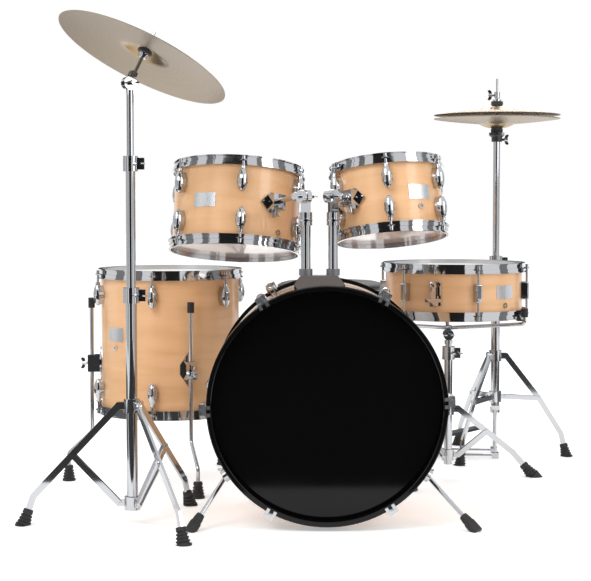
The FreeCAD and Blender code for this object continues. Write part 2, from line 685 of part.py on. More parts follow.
def leaning_foot(lean):
    """A ribbed foot on the end of a flat leg: its axis leans, and its sole is level.

    The leg's end is the origin; the leg comes down at the lean from the vertical.
    """
    corners = [(0, -60), (s.foot_base + 1, -60), (s.foot_base + 1, -24)]
    for i in range(1, 5):
        z = -24 + i * 7.5
        r = s.foot_base + (s.foot_top - s.foot_base) * (i / 4.5)
        corners += [(r - 1.8, z - 7), (r - 1.8, z - 3.6), (r, z - 3.2), (r, z)]
    corners += [(s.foot_top, 12), (0, 12)]
    body = copy(turned(corners), turn((0, 1, 0), -lean))
    slot = copy(block(s.leg_width + 0.6, s.leg_thickness + 0.6, 60, move(0, 0, -s.leg_width / 2 - 0.3)),
                turn((0, 1, 0), -lean))
    floor = block(400, 400, 200, move(0, 0, -200 - 24))
    return cut(body, [slot, floor])


def tripod(top, joint, hub, foot_r, pinned=True):
    """The pieces of a tripod in one upright plane: leg, foot and brace.

    Each of top, joint and hub is the radius and height of a pivot. The leg runs past the brace to
    a bend, then steeper to its foot. Unpinned, the brace has only rivet heads at the joint.
    """
    slope = (joint[0] - top[0]) / (top[1] - joint[1])
    steep = math.tan(math.atan(slope) * 0.36)
    bend = (min(foot_r - 42 * steep, top[0] + slope * (top[1] - 66)), 66)
    end = (foot_r, 24)
    drilled = [top, joint] if pinned else [top]
    leg = shape(strip([top, joint, bend, end], s.leg_width, s.leg_thickness, drilled))
    lean = math.degrees(math.atan2(end[0] - bend[0], bend[1] - end[1]))
    foot = copy(leaning_foot(lean), move(end[0], 0, end[1]))
    gap = float(s.leg_thickness) / 2 + 0.4
    thick = float(s.brace_thickness)
    outer = gap + thick
    pieces = []
    for sign in (-1, 1):
        bar = strip([hub, joint], s.leg_width - 1.5, thick)
        bar.translate(vec(0, sign * (gap + thick / 2), 0))
        pieces.append(bar)
        pieces.append(Part.makeCylinder(4.5, 1.5, vec(joint[0], sign * outer, joint[1]), vec(0, sign, 0)))
    for x, z in (hub, joint) if pinned else (hub,):
        pieces.append(Part.makeCylinder(float(s.pivot_radius), 2 * outer + 3,
                                        vec(x, -outer - 1.5, z), vec(0, 1, 0)))
    brace = shape(pieces[0].multiFuse(pieces[1:]).removeSplitter())
    return leg, foot, brace


def pivot_collar(tube_radius, pivot, cheeked):
    """A casting round the tube, with a pivot at three sides: cheeks and a pin, or a tongue."""
    radius, height = pivot
    outer = float(tube_radius) + 5.5
    inner = float(tube_radius) + float(s.slide_gap)
    tall = 30
    body = Part.makeCylinder(outer, tall, vec(0, 0, height - 15))
    parts = []
    half = float(s.leg_thickness) / 2
    for index in range(3):
        if cheeked:
            for sign in (-1, 1):
                y = half + 0.4 if sign == 1 else -half - 3.4
                cheek = Part.makeBox(radius - 8, 3, 16, vec(8, y, height - 8))
                end = Part.makeCylinder(8, 3, vec(radius, y, height), vec(0, 1, 0))
                parts.append(cheek.fuse(end).rotate(vec(0), vec(0, 0, 1), 120 * index))
            pin = Part.makeCylinder(float(s.pivot_radius), 2 * half + 8, vec(radius, -half - 4, height),
                                    vec(0, 1, 0))
            parts.append(pin.rotate(vec(0), vec(0, 0, 1), 120 * index))
        else:
            tongue = Part.makeBox(radius - 8, 2 * half, 14, vec(8, -half, height - 7))
            end = Part.makeCylinder(7, 2 * half, vec(radius, -half, height), vec(0, 1, 0))
            drill = float(s.pivot_radius) + float(s.pivot_gap)
            hole = Part.makeCylinder(drill, 40, vec(radius, -20, height), vec(0, 1, 0))
            parts.append(tongue.fuse(end).cut(hole).rotate(vec(0), vec(0, 0, 1), 120 * index))
    casting = body.multiFuse(parts)
    bore = Part.makeCylinder(inner, 100, vec(0, 0, height - 50))
    return shape(casting.cut(bore).removeSplitter())


def tube_clamp(outer, inner_tube, top):
    """The clamp on top of a tube: a split casting with its wing screw, bored for the inner tube."""
    body = cylinder(outer + s.clamp_wall, s.clamp_height, move(0, 0, top - s.clamp_height + 6))
    lug_block = block(20, 16, s.clamp_height - 8, move(outer + s.clamp_wall + 4, 0, top - s.clamp_height + 10))
    socket = cylinder(outer, 100, move(0, 0, top - 100))
    bore = cylinder(inner_tube + s.slide_gap, 60, move(0, 0, top - 30))
    x = outer + s.clamp_wall + 4
    screw = copy(WING, move(x, -8, top - s.clamp_height / 2 + 6).multiply(turn((1, 0, 0), 90)))
    return [cut(fuse([body, lug_block]), [socket, bore]), screw]


def static_stand(label, place, bearing, tube_radius, tube_bottom, tube_top, inner_tube, top, joint, hub, foot_r,
                 extras=()):
    """A stand whose tube, clamp, collar, hub, legs and braces are one sub-part of many solids."""
    leg, foot, brace = tripod(top, joint, hub, foot_r)
    pieces = [tube(tube_radius, tube_radius - s.tube_wall, tube_bottom, tube_top)]
    pieces += tube_clamp(tube_radius, inner_tube, tube_top)
    swing = turn((0, 0, 1), bearing)
    for index in range(3):
        third = swing.multiply(turn((0, 0, 1), 120 * index))
        pieces += [copy(leg, third), copy(foot, third), copy(brace, third)]
    pieces.append(copy(pivot_collar(tube_radius, top, True), swing))
    pieces.append(copy(pivot_collar(tube_radius, hub, False), swing))
    node(label, pieces + list(extras), place)


# ---------------------------------------------------------------- cymbals

def cymbal(radius, upside=1):
    """A cymbal with its bell up: the bell's top is at the origin, and the bow falls outward."""
    thick = float(s.cymbal_thickness)
    r, bell, rise, bow = float(radius), float(s.bell_radius), float(s.bell_rise), float(s.bow_rise)
    bore = float(s.cymbal_bore)

    def lower(lift):
        start = vec(bore, 0, -lift)
        crown = vec(bell * 0.62, 0, -rise * 0.42 - lift)
        foot = vec(bell, 0, -rise - lift)
        middle = vec((bell + r) / 2, 0, -rise - bow * 0.36 - lift)
        edge = vec(r, 0, -rise - bow - lift)
        return [Part.Arc(start, crown, foot).toShape(), Part.Arc(foot, middle, edge).toShape()]

    top, under = lower(0), lower(thick)
    ends = [Part.LineSegment(vec(bore, 0, 0), vec(bore, 0, -thick)).toShape(),
            Part.LineSegment(vec(r, 0, -rise - bow), vec(r, 0, -rise - bow - thick)).toShape()]
    wire = Part.Wire(Part.__sortEdges__(top + under + ends))
    solid = Part.Face(wire).revolve(vec(0), vec(0, 0, 1), 360)
    if upside < 0:
        solid = solid.mirror(vec(0), vec(0, 0, 1))
    return shape(solid)


def felt(bore, place, droop=0):
    """A felt washer with eased edges, standing on its place; under a bell its top falls outward."""
    body = turned([(bore, 0), (s.felt_radius - 2, 0), (s.felt_radius, 2),
                   (s.felt_radius, s.felt_height - 2 - droop),
                   (s.felt_radius - 2, s.felt_height - droop), (bore, s.felt_height)])
    return copy(body, place)


def crash_stand():
    base = stand_at(s.crash_x, s.crash_y)
    top, joint, hub = (30, 270), (134, 159.5), (30, 49)
    leg, foot, brace = tripod(top, joint, hub, 237, pinned=False)
    low = tube(s.stand_tube_radius, s.stand_tube_radius - s.tube_wall, 34, s.crash_low_top)
    hub_casting = pivot_collar(s.stand_tube_radius, hub, False)
    bearing = 62
    swing = turn((0, 0, 1), bearing)
    node("crash_base_tube", [low, copy(hub_casting, swing)]
         + tube_clamp(s.stand_tube_radius, s.crash_mid_radius, s.crash_low_top), base)
    node("crash_leg_collar", [copy(pivot_collar(s.stand_tube_radius, top, True), swing)], base)
    for index in range(3):
        third = base.multiply(swing).multiply(turn((0, 0, 1), 120 * index))
        node(f"crash_leg_{index + 1}", [copy(leg, move(0)), copy(foot, move(0))], third)
        node(f"crash_brace_{index + 1}", [copy(brace, move(0))], third)
    overlap = 140
    mid = tube(s.crash_mid_radius, s.crash_mid_radius - s.tube_wall, s.crash_low_top - overlap, s.crash_mid_top)
    node("crash_middle_tube", [mid] + tube_clamp(s.crash_mid_radius, s.crash_top_radius, s.crash_mid_top), base)
    pivot = vec(0, 0, s.crash_tilter_z)
    flat = turn((0, 0, 1), float(s.crash_lean_bearing))
    rod = cylinder(s.crash_top_radius, s.crash_tilter_z - s.crash_mid_top + overlap - 16,
                   move(0, 0, s.crash_mid_top - overlap))
    disc = cylinder(15, 10, move(0, 0, pivot.z).multiply(flat).multiply(move(0, 5, 0))
                    .multiply(turn((1, 0, 0), 90)))
    neck = block(14, 10, 22, move(0, 0, pivot.z - 26).multiply(flat))
    screw = copy(WING, move(0, 0, pivot.z).multiply(flat).multiply(move(0, -5, 0))
                 .multiply(turn((1, 0, 0), 90)))
    bolt = cylinder(4, 18, move(0, 0, pivot.z).multiply(flat).multiply(move(0, 22, 0))
                    .multiply(turn((1, 0, 0), 90)))
    node("crash_upper_tube", [fuse([rod, disc, neck, bolt]), screw], base)

    lean = base.multiply(move(0, 0, pivot.z)).multiply(flat).multiply(turn((0, 1, 0), s.crash_lean))
    seat = float(s.crash_seat)
    eye = cut(fuse([cylinder(14, 12, move(0, 17.6, 0).multiply(turn((1, 0, 0), 90))),
                    block(12, 12, 20, move(0, 11.6, 0)), block(14, 20, 12, move(0, 7.4, 16)),
                    cylinder(s.tilter_rod_radius, s.crash_rod_length - 20, move(0, 0, 20)),
                    cone(9, 13, 8, move(0, 0, seat - 24)),
                    cylinder(13, 3, move(0, 0, seat - 16))]),
              [cylinder(4.4, 60, move(0, 40, 0).multiply(turn((1, 0, 0), 90)))])
    below = felt(s.tilter_rod_radius + 0.5, move(0, 0, seat - 13), s.felt_droop)
    above = felt(s.tilter_rod_radius + 0.5, move(0, 0, seat + s.cymbal_thickness))
    nut = copy(WING, move(0, 0, seat + s.cymbal_thickness + s.felt_height))
    nut_cut = cut(nut, [cylinder(s.tilter_rod_radius + 0.3, 60, move(0, 0, seat - 10))])
    node("crash_tilter", [eye, below, above, nut_cut], lean)
    # the bell's top lies on the lower felt
    node("crash_cymbal", [copy(cymbal(s.crash_radius), move(0, 0, seat + s.cymbal_thickness - 0.3))], lean)
    return lean


def hat_stand():
    base = stand_at(s.hat_x, s.hat_y)
    swing = turn((0, 0, 1), s.hat_bearing)
    bottom = float(s.hat_tube_bottom)
    yoke = block(24, 2 * s.strut_spread + 16, 12, move(0, 0, bottom - 12))
    bush = cylinder(15, 14, move(0, 0, bottom - 26))
    rod_room = cylinder(s.hat_rod_radius + 1, 80, move(0, 0, bottom - 60))
    frame = [cut(fuse([yoke, bush]), [rod_room])]
    for side in (-1, 1):
        y = side * s.strut_spread
        frame.append(cylinder(4, bottom - 12 - 16, move(0, y, 16)))
        frame.append(block(20, 20, 16, move(0, y, 0)))
        frame.append(cylinder(3.5, s.hat_heel - 10 - 26, move(10, y, 8).multiply(turn((0, 1, 0), 90))))
    heel = block(52, 2 * s.strut_spread + 16, 12, move(s.hat_heel, 0, 2))
    frame.append(heel)
    frame.append(cut(block(16, 50, 14, move(s.hat_heel, 0, 14)),
                     [block(40, 34, 40, move(s.hat_heel, 0, 10)),
                      cylinder(3.4, 90, move(s.hat_heel, 45, 22).multiply(turn((1, 0, 0), 90)))]))
    frame.append(cylinder(3, 50, move(s.hat_heel, 25, 22).multiply(turn((1, 0, 0), 90))))
    extras = [copy(piece, swing) for piece in frame]
    static_stand("hihat_stand_base", base, -5, s.stand_tube_radius, s.hat_tube_bottom, s.hat_tube_top,
                 s.hat_inner_radius, (31, 287), (125, 166), (31, 170), 198, extras)

    inner = tube(s.hat_inner_radius, s.hat_inner_radius - 3, s.hat_tube_top - 130, s.hat_seat_z)
    cup = turned([(s.hat_rod_radius + 1.5, 0), (15, 0), (15, 12), (22, 18), (22, s.hat_cup_height),
                  (s.hat_rod_radius + 1.5, s.hat_cup_height)])
    seat_felt = felt(s.hat_rod_radius + 1.5, move(0, 0, s.hat_seat_z + s.hat_cup_height))
    screw = copy(WING, move(15.2, 0, float(s.hat_seat_z) + 6).multiply(turn((0, 1, 0), 90)))
    node("hihat_upper_tube", [inner, copy(cup, move(0, 0, s.hat_seat_z)), seat_felt, screw], base)
    low_bell = float(s.hat_seat_z + s.hat_cup_height + s.felt_height)
    node("hihat_bottom_cymbal", [copy(cymbal(s.hat_radius, -1), move(0, 0, low_bell))], base)
    high_bell = low_bell + 2 * float(s.bell_rise + s.bow_rise) + float(s.hat_opening)
    return base, low_bell, high_bell


def hat_top(base, low_bell, high_bell):
    """The pull rod, its clutch and felts, and the top cymbal that it carries."""
    start = float(s.hat_tube_bottom) - 40
    rod = cylinder(s.hat_rod_radius, float(s.hat_rod_top) - start, move(0, 0, start))
    under = high_bell - float(s.cymbal_thickness) - 6.6
    nut = turned([(3.5, 0), (11, 0), (11, 5), (3.5, 5)])
    lower_felt = turned([(3.5, 0), (12, 0), (13, 1), (13, 1.8), (12, 2.6), (3.5, 6)])
    sleeve_low = high_bell + 0.5
    felt_top = felt(s.hat_rod_radius + 0.5, move(0, 0, sleeve_low))
    clutch = turned([(3.3, 0), (12, 0), (12, 5), (8, 8), (8, 26), (3.3, 26)])
    screw = copy(WING, move(-8, 0, sleeve_low + float(s.felt_height) + 17).multiply(turn((0, 1, 0), -90)))
    node("hihat_pull_rod", [rod, copy(nut, move(0, 0, under - 5)),
                            copy(lower_felt, move(0, 0, high_bell - float(s.cymbal_thickness) - 6.6)),
                            felt_top, copy(clutch, move(0, 0, sleeve_low + float(s.felt_height))), screw], base)
    node("hihat_top_cymbal", [copy(cymbal(s.hat_radius), move(0, 0, high_bell))], base)


def footboard(width, length, thickness):
    """A pedal board along +X from its heel knuckle at the origin, narrower at the toe."""
    half = width / 2
    board = plate([(12, -half), (length * 0.55, -half), (length, 14 - half), (length, half - 14),
                   (length * 0.55, half), (12, half)], thickness)
    ribs = [block(4, width - 34, 3, move(length * t, 0, thickness / 2)) for t in (0.2, 0.3, 0.4, 0.5, 0.6)]
    knuckle = cylinder(6.5, 32, move(0, 16, 0).multiply(turn((1, 0, 0), 90)))
    web = block(20, 32, thickness, move(8, 0, -thickness / 2))
    pin_room = cylinder(3.3, 90, move(0, 45, 0).multiply(turn((1, 0, 0), 90)))
    return cut(fuse([board, knuckle, web] + ribs), [pin_room])


def hat_footboard(base):
    swing = base.multiply(turn((0, 0, 1), s.hat_bearing))
    slope = math.degrees(math.atan2(68, float(s.hat_heel)))
    place = swing.multiply(move(s.hat_heel, 0, 22)).multiply(turn((0, 0, 1), 180)).multiply(
        turn((0, 1, 0), -slope))
    node("hihat_footboard", [footboard(s.pedal_width, s.hat_heel - 24, s.board_thickness)], place)
    return place


def snare_drum():
    radius, half = s.snare_radius, s.snare_depth / 2
    place = stand_at(s.snare_x, s.snare_y, s.snare_bottom + half + 2)
    first = -77
    node("snare_shell", [shell(radius, s.shell_wall, half)], place)
    node("snare_heads", [head(radius, half, 1), head(radius, -half, -1)], place)
    node("snare_hoops", [pressed_hoop(radius, half, 1, first), pressed_hoop(radius, -half, -1, first)], place)
    rod = key_bolt(half - s.flesh_top + s.hoop_wall - 6)
    lugs = ring(box_lug(), s.lugs, first, move(radius))
    seat = half - s.flesh_top + s.hoop_wall
    upper = ring(rod, s.lugs, first, move(radius + s.rod_reach, 0, seat))
    lower = upside_down(ring(rod, s.lugs, -first, move(radius + s.rod_reach, 0, seat)))
    plates = [copy(piece, turn((0, 0, 1), -49)) for piece in badge(radius)]
    node("snare_lugs", lugs + upper + lower + plates, place)

    # strainer: a back plate, a slide and the wires across the lower head to the butt plate
    bearing = turn((0, 0, 1), -110)
    back = block(6, 30, 62, move(radius + 3.2, 0, -34))
    slide = block(12, 20, 26, move(radius + 12.2, 0, -32))
    post = cylinder(4, 12, move(radius + 6.2, 0, 20).multiply(turn((0, 1, 0), 90)))
    butt = block(10, 32, 24, move(-radius - 5.2, 0, -32))
    low = -half - s.film
    strand_gap = 4
    wires = [cylinder(1.1, 2 * radius - 70, move(-radius + 35, (i - 4.5) * strand_gap, low - 1.4).multiply(
        turn((0, 1, 0), 90))) for i in range(10)]
    plates = [block(16, 46, 2.6, move(side * (radius - 28), 0, low - 2.7)) for side in (-1, 1)]
    things = [fuse([back, slide, post]), butt, fuse(wires + plates)]
    node("snare_strainer", [copy(piece, bearing) for piece in things], place)
    lever = fuse([cylinder(7, 8, move(radius + 18.6, 0, 20).multiply(turn((0, 1, 0), 90))),
                  block(6, 10, 46, move(radius + 22.6, 0, -22)),
                  block(7, 44, 9, move(radius + 23.1, 0, -22))])
    lever_cut = cut(lever, [cylinder(4.3, 40, move(radius + 2, 0, 20).multiply(turn((0, 1, 0), 90)))])
    node("snare_throw_off_lever", [copy(lever_cut, bearing)], place)
    pivot = place.multVec(bearing.multVec(vec(radius + 20, 0, 20)))
    axis = bearing.multVec(vec(1, 0, 0))
    return pivot, axis


def snare_stand():
    place = stand_at(s.snare_stand_x, s.snare_y)
    static_stand("snare_stand_base", place, 0, s.snare_tube_radius, 34, s.snare_tube_top,
                 s.snare_inner_radius, (27, 181), (102, 121), (27, 59), 207)
    z = float(s.snare_tilter_z)
    inner = tube(s.snare_inner_radius, s.snare_inner_radius - s.tube_wall, s.snare_tube_top - 130, z - 14)
    disc = cylinder(14, 12, move(0, 6, z).multiply(turn((1, 0, 0), 90)))
    neck = cut(fuse([cylinder(11, 9, move(0, 0, z - 24)), block(14, 12, 14, move(0, 0, z - 16))]),
               [cylinder(s.snare_inner_radius, 10, move(0, 0, z - 24))])
    bolt = cylinder(4, 19, move(0, 24.5, z).multiply(turn((1, 0, 0), 90)))
    screw = copy(WING, move(0, -6, z).multiply(turn((1, 0, 0), 90)))
    node("snare_upper_tube", [inner, fuse([disc, neck, bolt]), screw], place)
    # the basket: a tilter eye, a hub and three arms whose rubber grips hold the lower hoop
    rim = s.snare_radius + s.flange_low
    shift = s.snare_x - s.snare_stand_x
    low = float(s.snare_bottom) - float(s.hoop_rise) + float(s.flesh_top) + 2
    eye = cut(fuse([cylinder(14, 12, move(0, 18.6, z).multiply(turn((1, 0, 0), 90))),
                    block(12, 12, 16, move(0, 12.6, z)), block(18, 30, 9, move(0, 4, z + 14.6))]),
              [cylinder(4.4, 60, move(0, 40, z).multiply(turn((1, 0, 0), 90)))])
    rods, grips = [], []
    for angle in (-30, 90, 210):
        a = math.radians(angle)
        reach = float(rim) + 10
        hub_point = (10 * math.cos(a), 10 * math.sin(a), z + 19)
        knee = (float(shift) + (reach) * math.cos(a), reach * math.sin(a), low - 12)
        tip = (knee[0], knee[1], low + 26)
        rod = bent_rod([hub_point, knee, tip], s.basket_rod, 9)
        grip_low = move(knee[0], knee[1], low + 6)
        grip = cut(cylinder(s.basket_tip, 22, grip_low), [cylinder(s.basket_rod + 0.05, 21, grip_low)])
        under = float(rim) - 2
        pad = block(14, 16, 4, move(float(shift) + under * math.cos(a), under * math.sin(a),
                                    low - 4.3).multiply(turn((0, 0, 1), angle)))
        rods.append(rod)
        grips += [grip, pad]
    node("snare_basket", [fuse([eye] + rods)] + grips, place)
    return place


def throne():
    place = stand_at(s.throne_x, s.throne_y)
    static_stand("throne_base", place, 60, s.throne_tube_radius, 60, s.throne_tube_top,
                 s.throne_post_radius, (32, 250), (125, 165), (32, 80), 220)
    under = s.seat_top - s.seat_thickness
    post = tube(s.throne_post_radius, s.throne_post_radius - 2, s.throne_tube_top - 140, under + 14)
    node("throne_post", [post], place)
    edge = 22
    cushion = turned([(0, 16), (s.seat_radius - 14, 16), (s.seat_radius, 30),
                      (s.seat_radius, s.seat_thickness - edge),
                      (s.seat_radius - 8, s.seat_thickness - 7), (s.seat_radius - edge, s.seat_thickness),
                      (0, s.seat_thickness)])
    board = cut(cylinder(s.seat_radius - 20, 16), [cylinder(s.throne_post_radius + s.slide_gap + 0.1, 15)])
    socket = turned([(s.throne_post_radius + s.slide_gap, -30), (20, -30), (20, -4), (60, -4), (60, 0),
                     (s.throne_post_radius + s.slide_gap, 0)])
    screw = copy(WING, move(20.3, 0, -21).multiply(turn((0, 1, 0), 90)))
    node("throne_seat", [cushion, board, socket, screw], stand_at(s.throne_x, s.throne_y, under))


def bass_pedal():
    """The pedal clamps to the rear hoop at the bottom of the bass drum."""
    stand = s.wood_hoop_width - s.flesh_top
    hoop_back = 2 * stand + s.bass_depth
    y = float(hoop_back) + float(s.pedal_behind_hoop)
    place = stand_at(0, y)
    hoop_low = float(s.bass_axis_height - s.bass_radius - s.wood_hoop_in - s.wood_hoop_wall)
    spread = float(s.pedal_post_spread)
    top = float(s.pedal_post_height)
    plate_long = float(s.pedal_length) + 40
    base = block(2 * spread + 24, 60, 4, move(0, 6, 0))
    tongue = block(60, plate_long - 20, 3, move(0, plate_long / 2 + 24, 0))
    lower_jaw = block(50, 36, hoop_low - 0.3 - 4, move(0, -21, 4))
    jaw_top = hoop_low + float(s.wood_hoop_wall) + 0.6
    posts = []
    for side in (-1, 1):
        posts.append(block(14, 20, top + 14, move(side * spread, 0, 4)))
    shaft_room = cylinder(s.shaft_radius + 0.35, 200, move(-100, 0, top).multiply(turn((0, 1, 0), 90)))
    jaw = fuse([block(26, 45, 5, move(0, -16.5, jaw_top)), block(26, 8, jaw_top + 5 - 4, move(0, 2, 4))])
    heel_y = float(s.pedal_length) + 10
    heel = cut(block(50, 16, 22, move(0, heel_y, 3)),
               [block(34, 40, 40, move(0, heel_y, 5)),
                cylinder(3, 90, move(-45, heel_y, 18).multiply(turn((0, 1, 0), 90)))])
    pin = cylinder(3, 50, move(-25, heel_y, 18).multiply(turn((0, 1, 0), 90)))
    frame = cut(fuse([base, tongue, lower_jaw] + posts), [shaft_room])
    screw = copy(WING, move(0, 6, 16).multiply(turn((1, 0, 0), -90)))
    node("pedal_frame", [frame, jaw, heel, pin, screw], place)
    slope = math.degrees(math.atan2(72, float(s.pedal_length)))
    board_place = place.multiply(move(0, heel_y, 18)).multiply(turn((0, 0, 1), -90)).multiply(
        turn((0, 1, 0), -slope))
    node("pedal_footboard", [footboard(s.pedal_width, s.pedal_length - 16, s.board_thickness)], board_place)
    shaft = cylinder(s.shaft_radius, 2 * spread + 30, move(-spread - 15, 0, 0).multiply(turn((0, 1, 0), 90)))
    cam = cylinder(16, 14, move(-7, 0, 0).multiply(turn((0, 1, 0), 90)))
    back = float(s.beater_back)
    lean = turn((1, 0, 0), -back)
    hub = cylinder(11, 22, move(-11 + 26, 0, 0).multiply(turn((0, 1, 0), 90)))
    rod = cylinder(3.2, s.beater_length, move(26, 0, 0).multiply(lean))
    felt_head = cylinder(s.beater_radius, 40, move(26, 0, 0).multiply(lean).multiply(
        move(0, 20, s.beater_length)).multiply(turn((1, 0, 0), 90)))
    node("pedal_beater", [fuse([shaft, cam, hub, rod]), cut(felt_head, [rod])],
         place.multiply(move(0, 0, top)))
    return place, board_place


def spurs():
    """A bracket low on each side of the bass drum, and a spur rod that swings in it."""
    angle = math.radians(float(s.spur_bracket_angle))
    radius = float(s.bass_radius)
    brackets, pivots = [], {}
    for name, side in (("left", -1), ("right", 1)):
        out = vec(side * math.cos(angle), 0, -math.sin(angle))
        centre = vec(0, float(s.spur_back), float(s.bass_axis_height)) + out * radius
        facing = FreeCAD.Placement(centre, FreeCAD.Rotation(vec(0, 0, 1), out))
        base_plate = block(40, 34, 4, facing.multiply(move(0, 0, 0.4)))
        boss = cylinder(15, 10, facing.multiply(move(0, 0, 4.4)))
        brackets += [fuse([base_plate, boss])]
        pivot = centre + out * 24
        reach = float(s.spur_foot_left if side < 0 else s.spur_foot_right)
        foot = vec(side * reach, float(s.spur_foot_front), 12)
        direction = (foot - pivot).normalize()
        swivel = cylinder(14, 18, facing.multiply(move(0, 0, 14.8)))
        aside = (direction - out * direction.dot(out)).normalize() * -1
        rod = cylinder(s.spur_rod_radius, (foot - pivot).Length, along(pivot, foot))
        end = foot
        tilt = FreeCAD.Placement(end, FreeCAD.Rotation(vec(0, 0, 1), direction * -1))
        rubber_body = turned([(0, -20), (13, -20), (13, 8), (11, 12), (11, 18), (9, 30), (0, 30)])
        rubber = cut(copy(rubber_body, tilt), [block(900, 900, 100, move(0, 0, -100)),
                                               cylinder(s.spur_rod_radius + 0.1, 60, tilt)])
        screw = copy(WING, FreeCAD.Placement(pivot + aside * 14, FreeCAD.Rotation(vec(0, 0, 1), aside)))
        node(f"spur_{name}", [fuse([swivel, rod]), rubber, screw], stand_at(0, 0))
        pivots[name] = (stand_at(0, 0).multVec(pivot), out)
    node("spur_brackets", brackets, stand_at(0, 0))
    return pivots


# ---------------------------------------------------------------- the kit

bass_drum()
tom_holder()
SPURS = spurs()
floor_tom()
LEFT = tom_place(s.left_x, s.left_y, s.left_z, s.left_tilt, s.left_roll)
RIGHT = tom_place(s.right_x, s.right_y, s.right_z, s.right_tilt, -s.right_roll)
drum("tom_left", s.tom_left_radius, s.tom_left_depth, -84, -118, LEFT, s.tom_left_lug_drop,
     vent_turn=71, vent_z=-68)
drum("tom_right", s.tom_right_radius, s.tom_right_depth, -93, -58, RIGHT, s.tom_right_lug_drop)
LEFT_PIVOT, LEFT_AXIS = tom_bracket("tom_left", LEFT, s.tom_left_radius, -1)
RIGHT_PIVOT, RIGHT_AXIS = tom_bracket("tom_right", RIGHT, s.tom_right_radius, 1)
tom_post("tom_left", -1, LEFT_PIVOT, LEFT_AXIS)
tom_post("tom_right", 1, RIGHT_PIVOT, RIGHT_AXIS)
LEVER_PIVOT, LEVER_AXIS = snare_drum()
snare_stand()
CRASH_LEAN = crash_stand()
HAT, LOW_BELL, HIGH_BELL = hat_stand()
hat_top(HAT, LOW_BELL, HIGH_BELL)
HAT_BOARD = hat_footboard(HAT)
throne()
PEDAL, PEDAL_BOARD = bass_pedal()
doc.recompute()

for thing in doc.Objects:
    if "Invalid" in thing.State or "Error" in thing.State:
        raise RuntimeError(f"{thing.Label} did not build: {thing.State}")
os.makedirs("parts", exist_ok=True)
for thing in nodes:
    if thing.Shape.isNull() or not thing.Shape.isValid() or not thing.Shape.Solids:
        raise RuntimeError(f"{thing.Label} has no sound shape")
    thing.Shape.exportStep(f"parts/{thing.Label}.step")
box = Part.Compound([thing.Shape for thing in nodes]).BoundBox
print(len(nodes), "sub-parts", box)
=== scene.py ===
"""Finishes and fine detail for an acoustic drum kit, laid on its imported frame."""

import json
import math

import bmesh
import bpy
import numpy as np
from mathutils import Matrix, Vector


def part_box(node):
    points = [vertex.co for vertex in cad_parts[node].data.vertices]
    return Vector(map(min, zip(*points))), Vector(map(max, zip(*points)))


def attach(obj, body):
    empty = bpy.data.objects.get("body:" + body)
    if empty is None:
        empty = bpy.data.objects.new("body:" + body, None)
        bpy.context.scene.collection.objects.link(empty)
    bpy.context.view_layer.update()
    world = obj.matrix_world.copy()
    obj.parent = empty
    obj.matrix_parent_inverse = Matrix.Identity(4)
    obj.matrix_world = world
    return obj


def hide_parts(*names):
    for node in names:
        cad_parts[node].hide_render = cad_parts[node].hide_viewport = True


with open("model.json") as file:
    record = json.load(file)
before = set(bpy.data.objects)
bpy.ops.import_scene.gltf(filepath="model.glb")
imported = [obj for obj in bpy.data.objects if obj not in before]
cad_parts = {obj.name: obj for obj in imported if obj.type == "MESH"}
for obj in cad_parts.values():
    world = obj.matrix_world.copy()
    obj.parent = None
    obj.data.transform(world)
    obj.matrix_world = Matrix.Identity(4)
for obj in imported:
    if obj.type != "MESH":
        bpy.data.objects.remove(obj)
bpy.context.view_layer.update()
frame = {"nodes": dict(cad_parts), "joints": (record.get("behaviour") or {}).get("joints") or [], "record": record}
record = frame["record"]
joints = {joint["name"]: joint for joint in frame["joints"]}
body_of_node = {n: body for body, names in record["behaviour"]["bodies"].items() for n in names}

MERGE_DISTANCE = 0.000002   # vertices nearer than this are one
FLOOR_SLACK = 0.003         # a solid that starts below this stands on the floor
STAND_FOOT = 0.06           # height that a stand's rubber foot stays under
ROD_FOOT_TOP = 0.0405       # where a floor tom leg's rubber foot ends
ROD_TIP = 0.0265            # how far a floor tom leg's rubber tip reaches down
HAT_CUP_DEPTH = 0.038       # from the top of the hi-hat's tube down to its cup
HAT_CUP_HEIGHT = 0.0262
HAT_CUP_RADIUS = 0.0235
HOLDER_FACE = 0.052         # half width of the tom holder's dark face
WIRE_COUNT = 9
WIRE_STEP = 0.004
CLOTH_DISTANCE = 4.6
CLOTH_LIFT = 0.004          # of the dark cloths that lie on the floor
FLOOR_REACH = 30
FLOOR_DROP = 0.0005


# ---------------------------------------------------------------- finishes

def colour_ramp(tree, stops):
    """A ramp node through (position, colour) stops."""
    node = tree.nodes.new("ShaderNodeValToRGB")
    elements = node.color_ramp.elements
    while len(elements) < len(stops):
        elements.new(0.5)
    for element, (position, colour) in zip(elements, stops):
        element.position = position
        element.color = (*colour, 1)
    return node


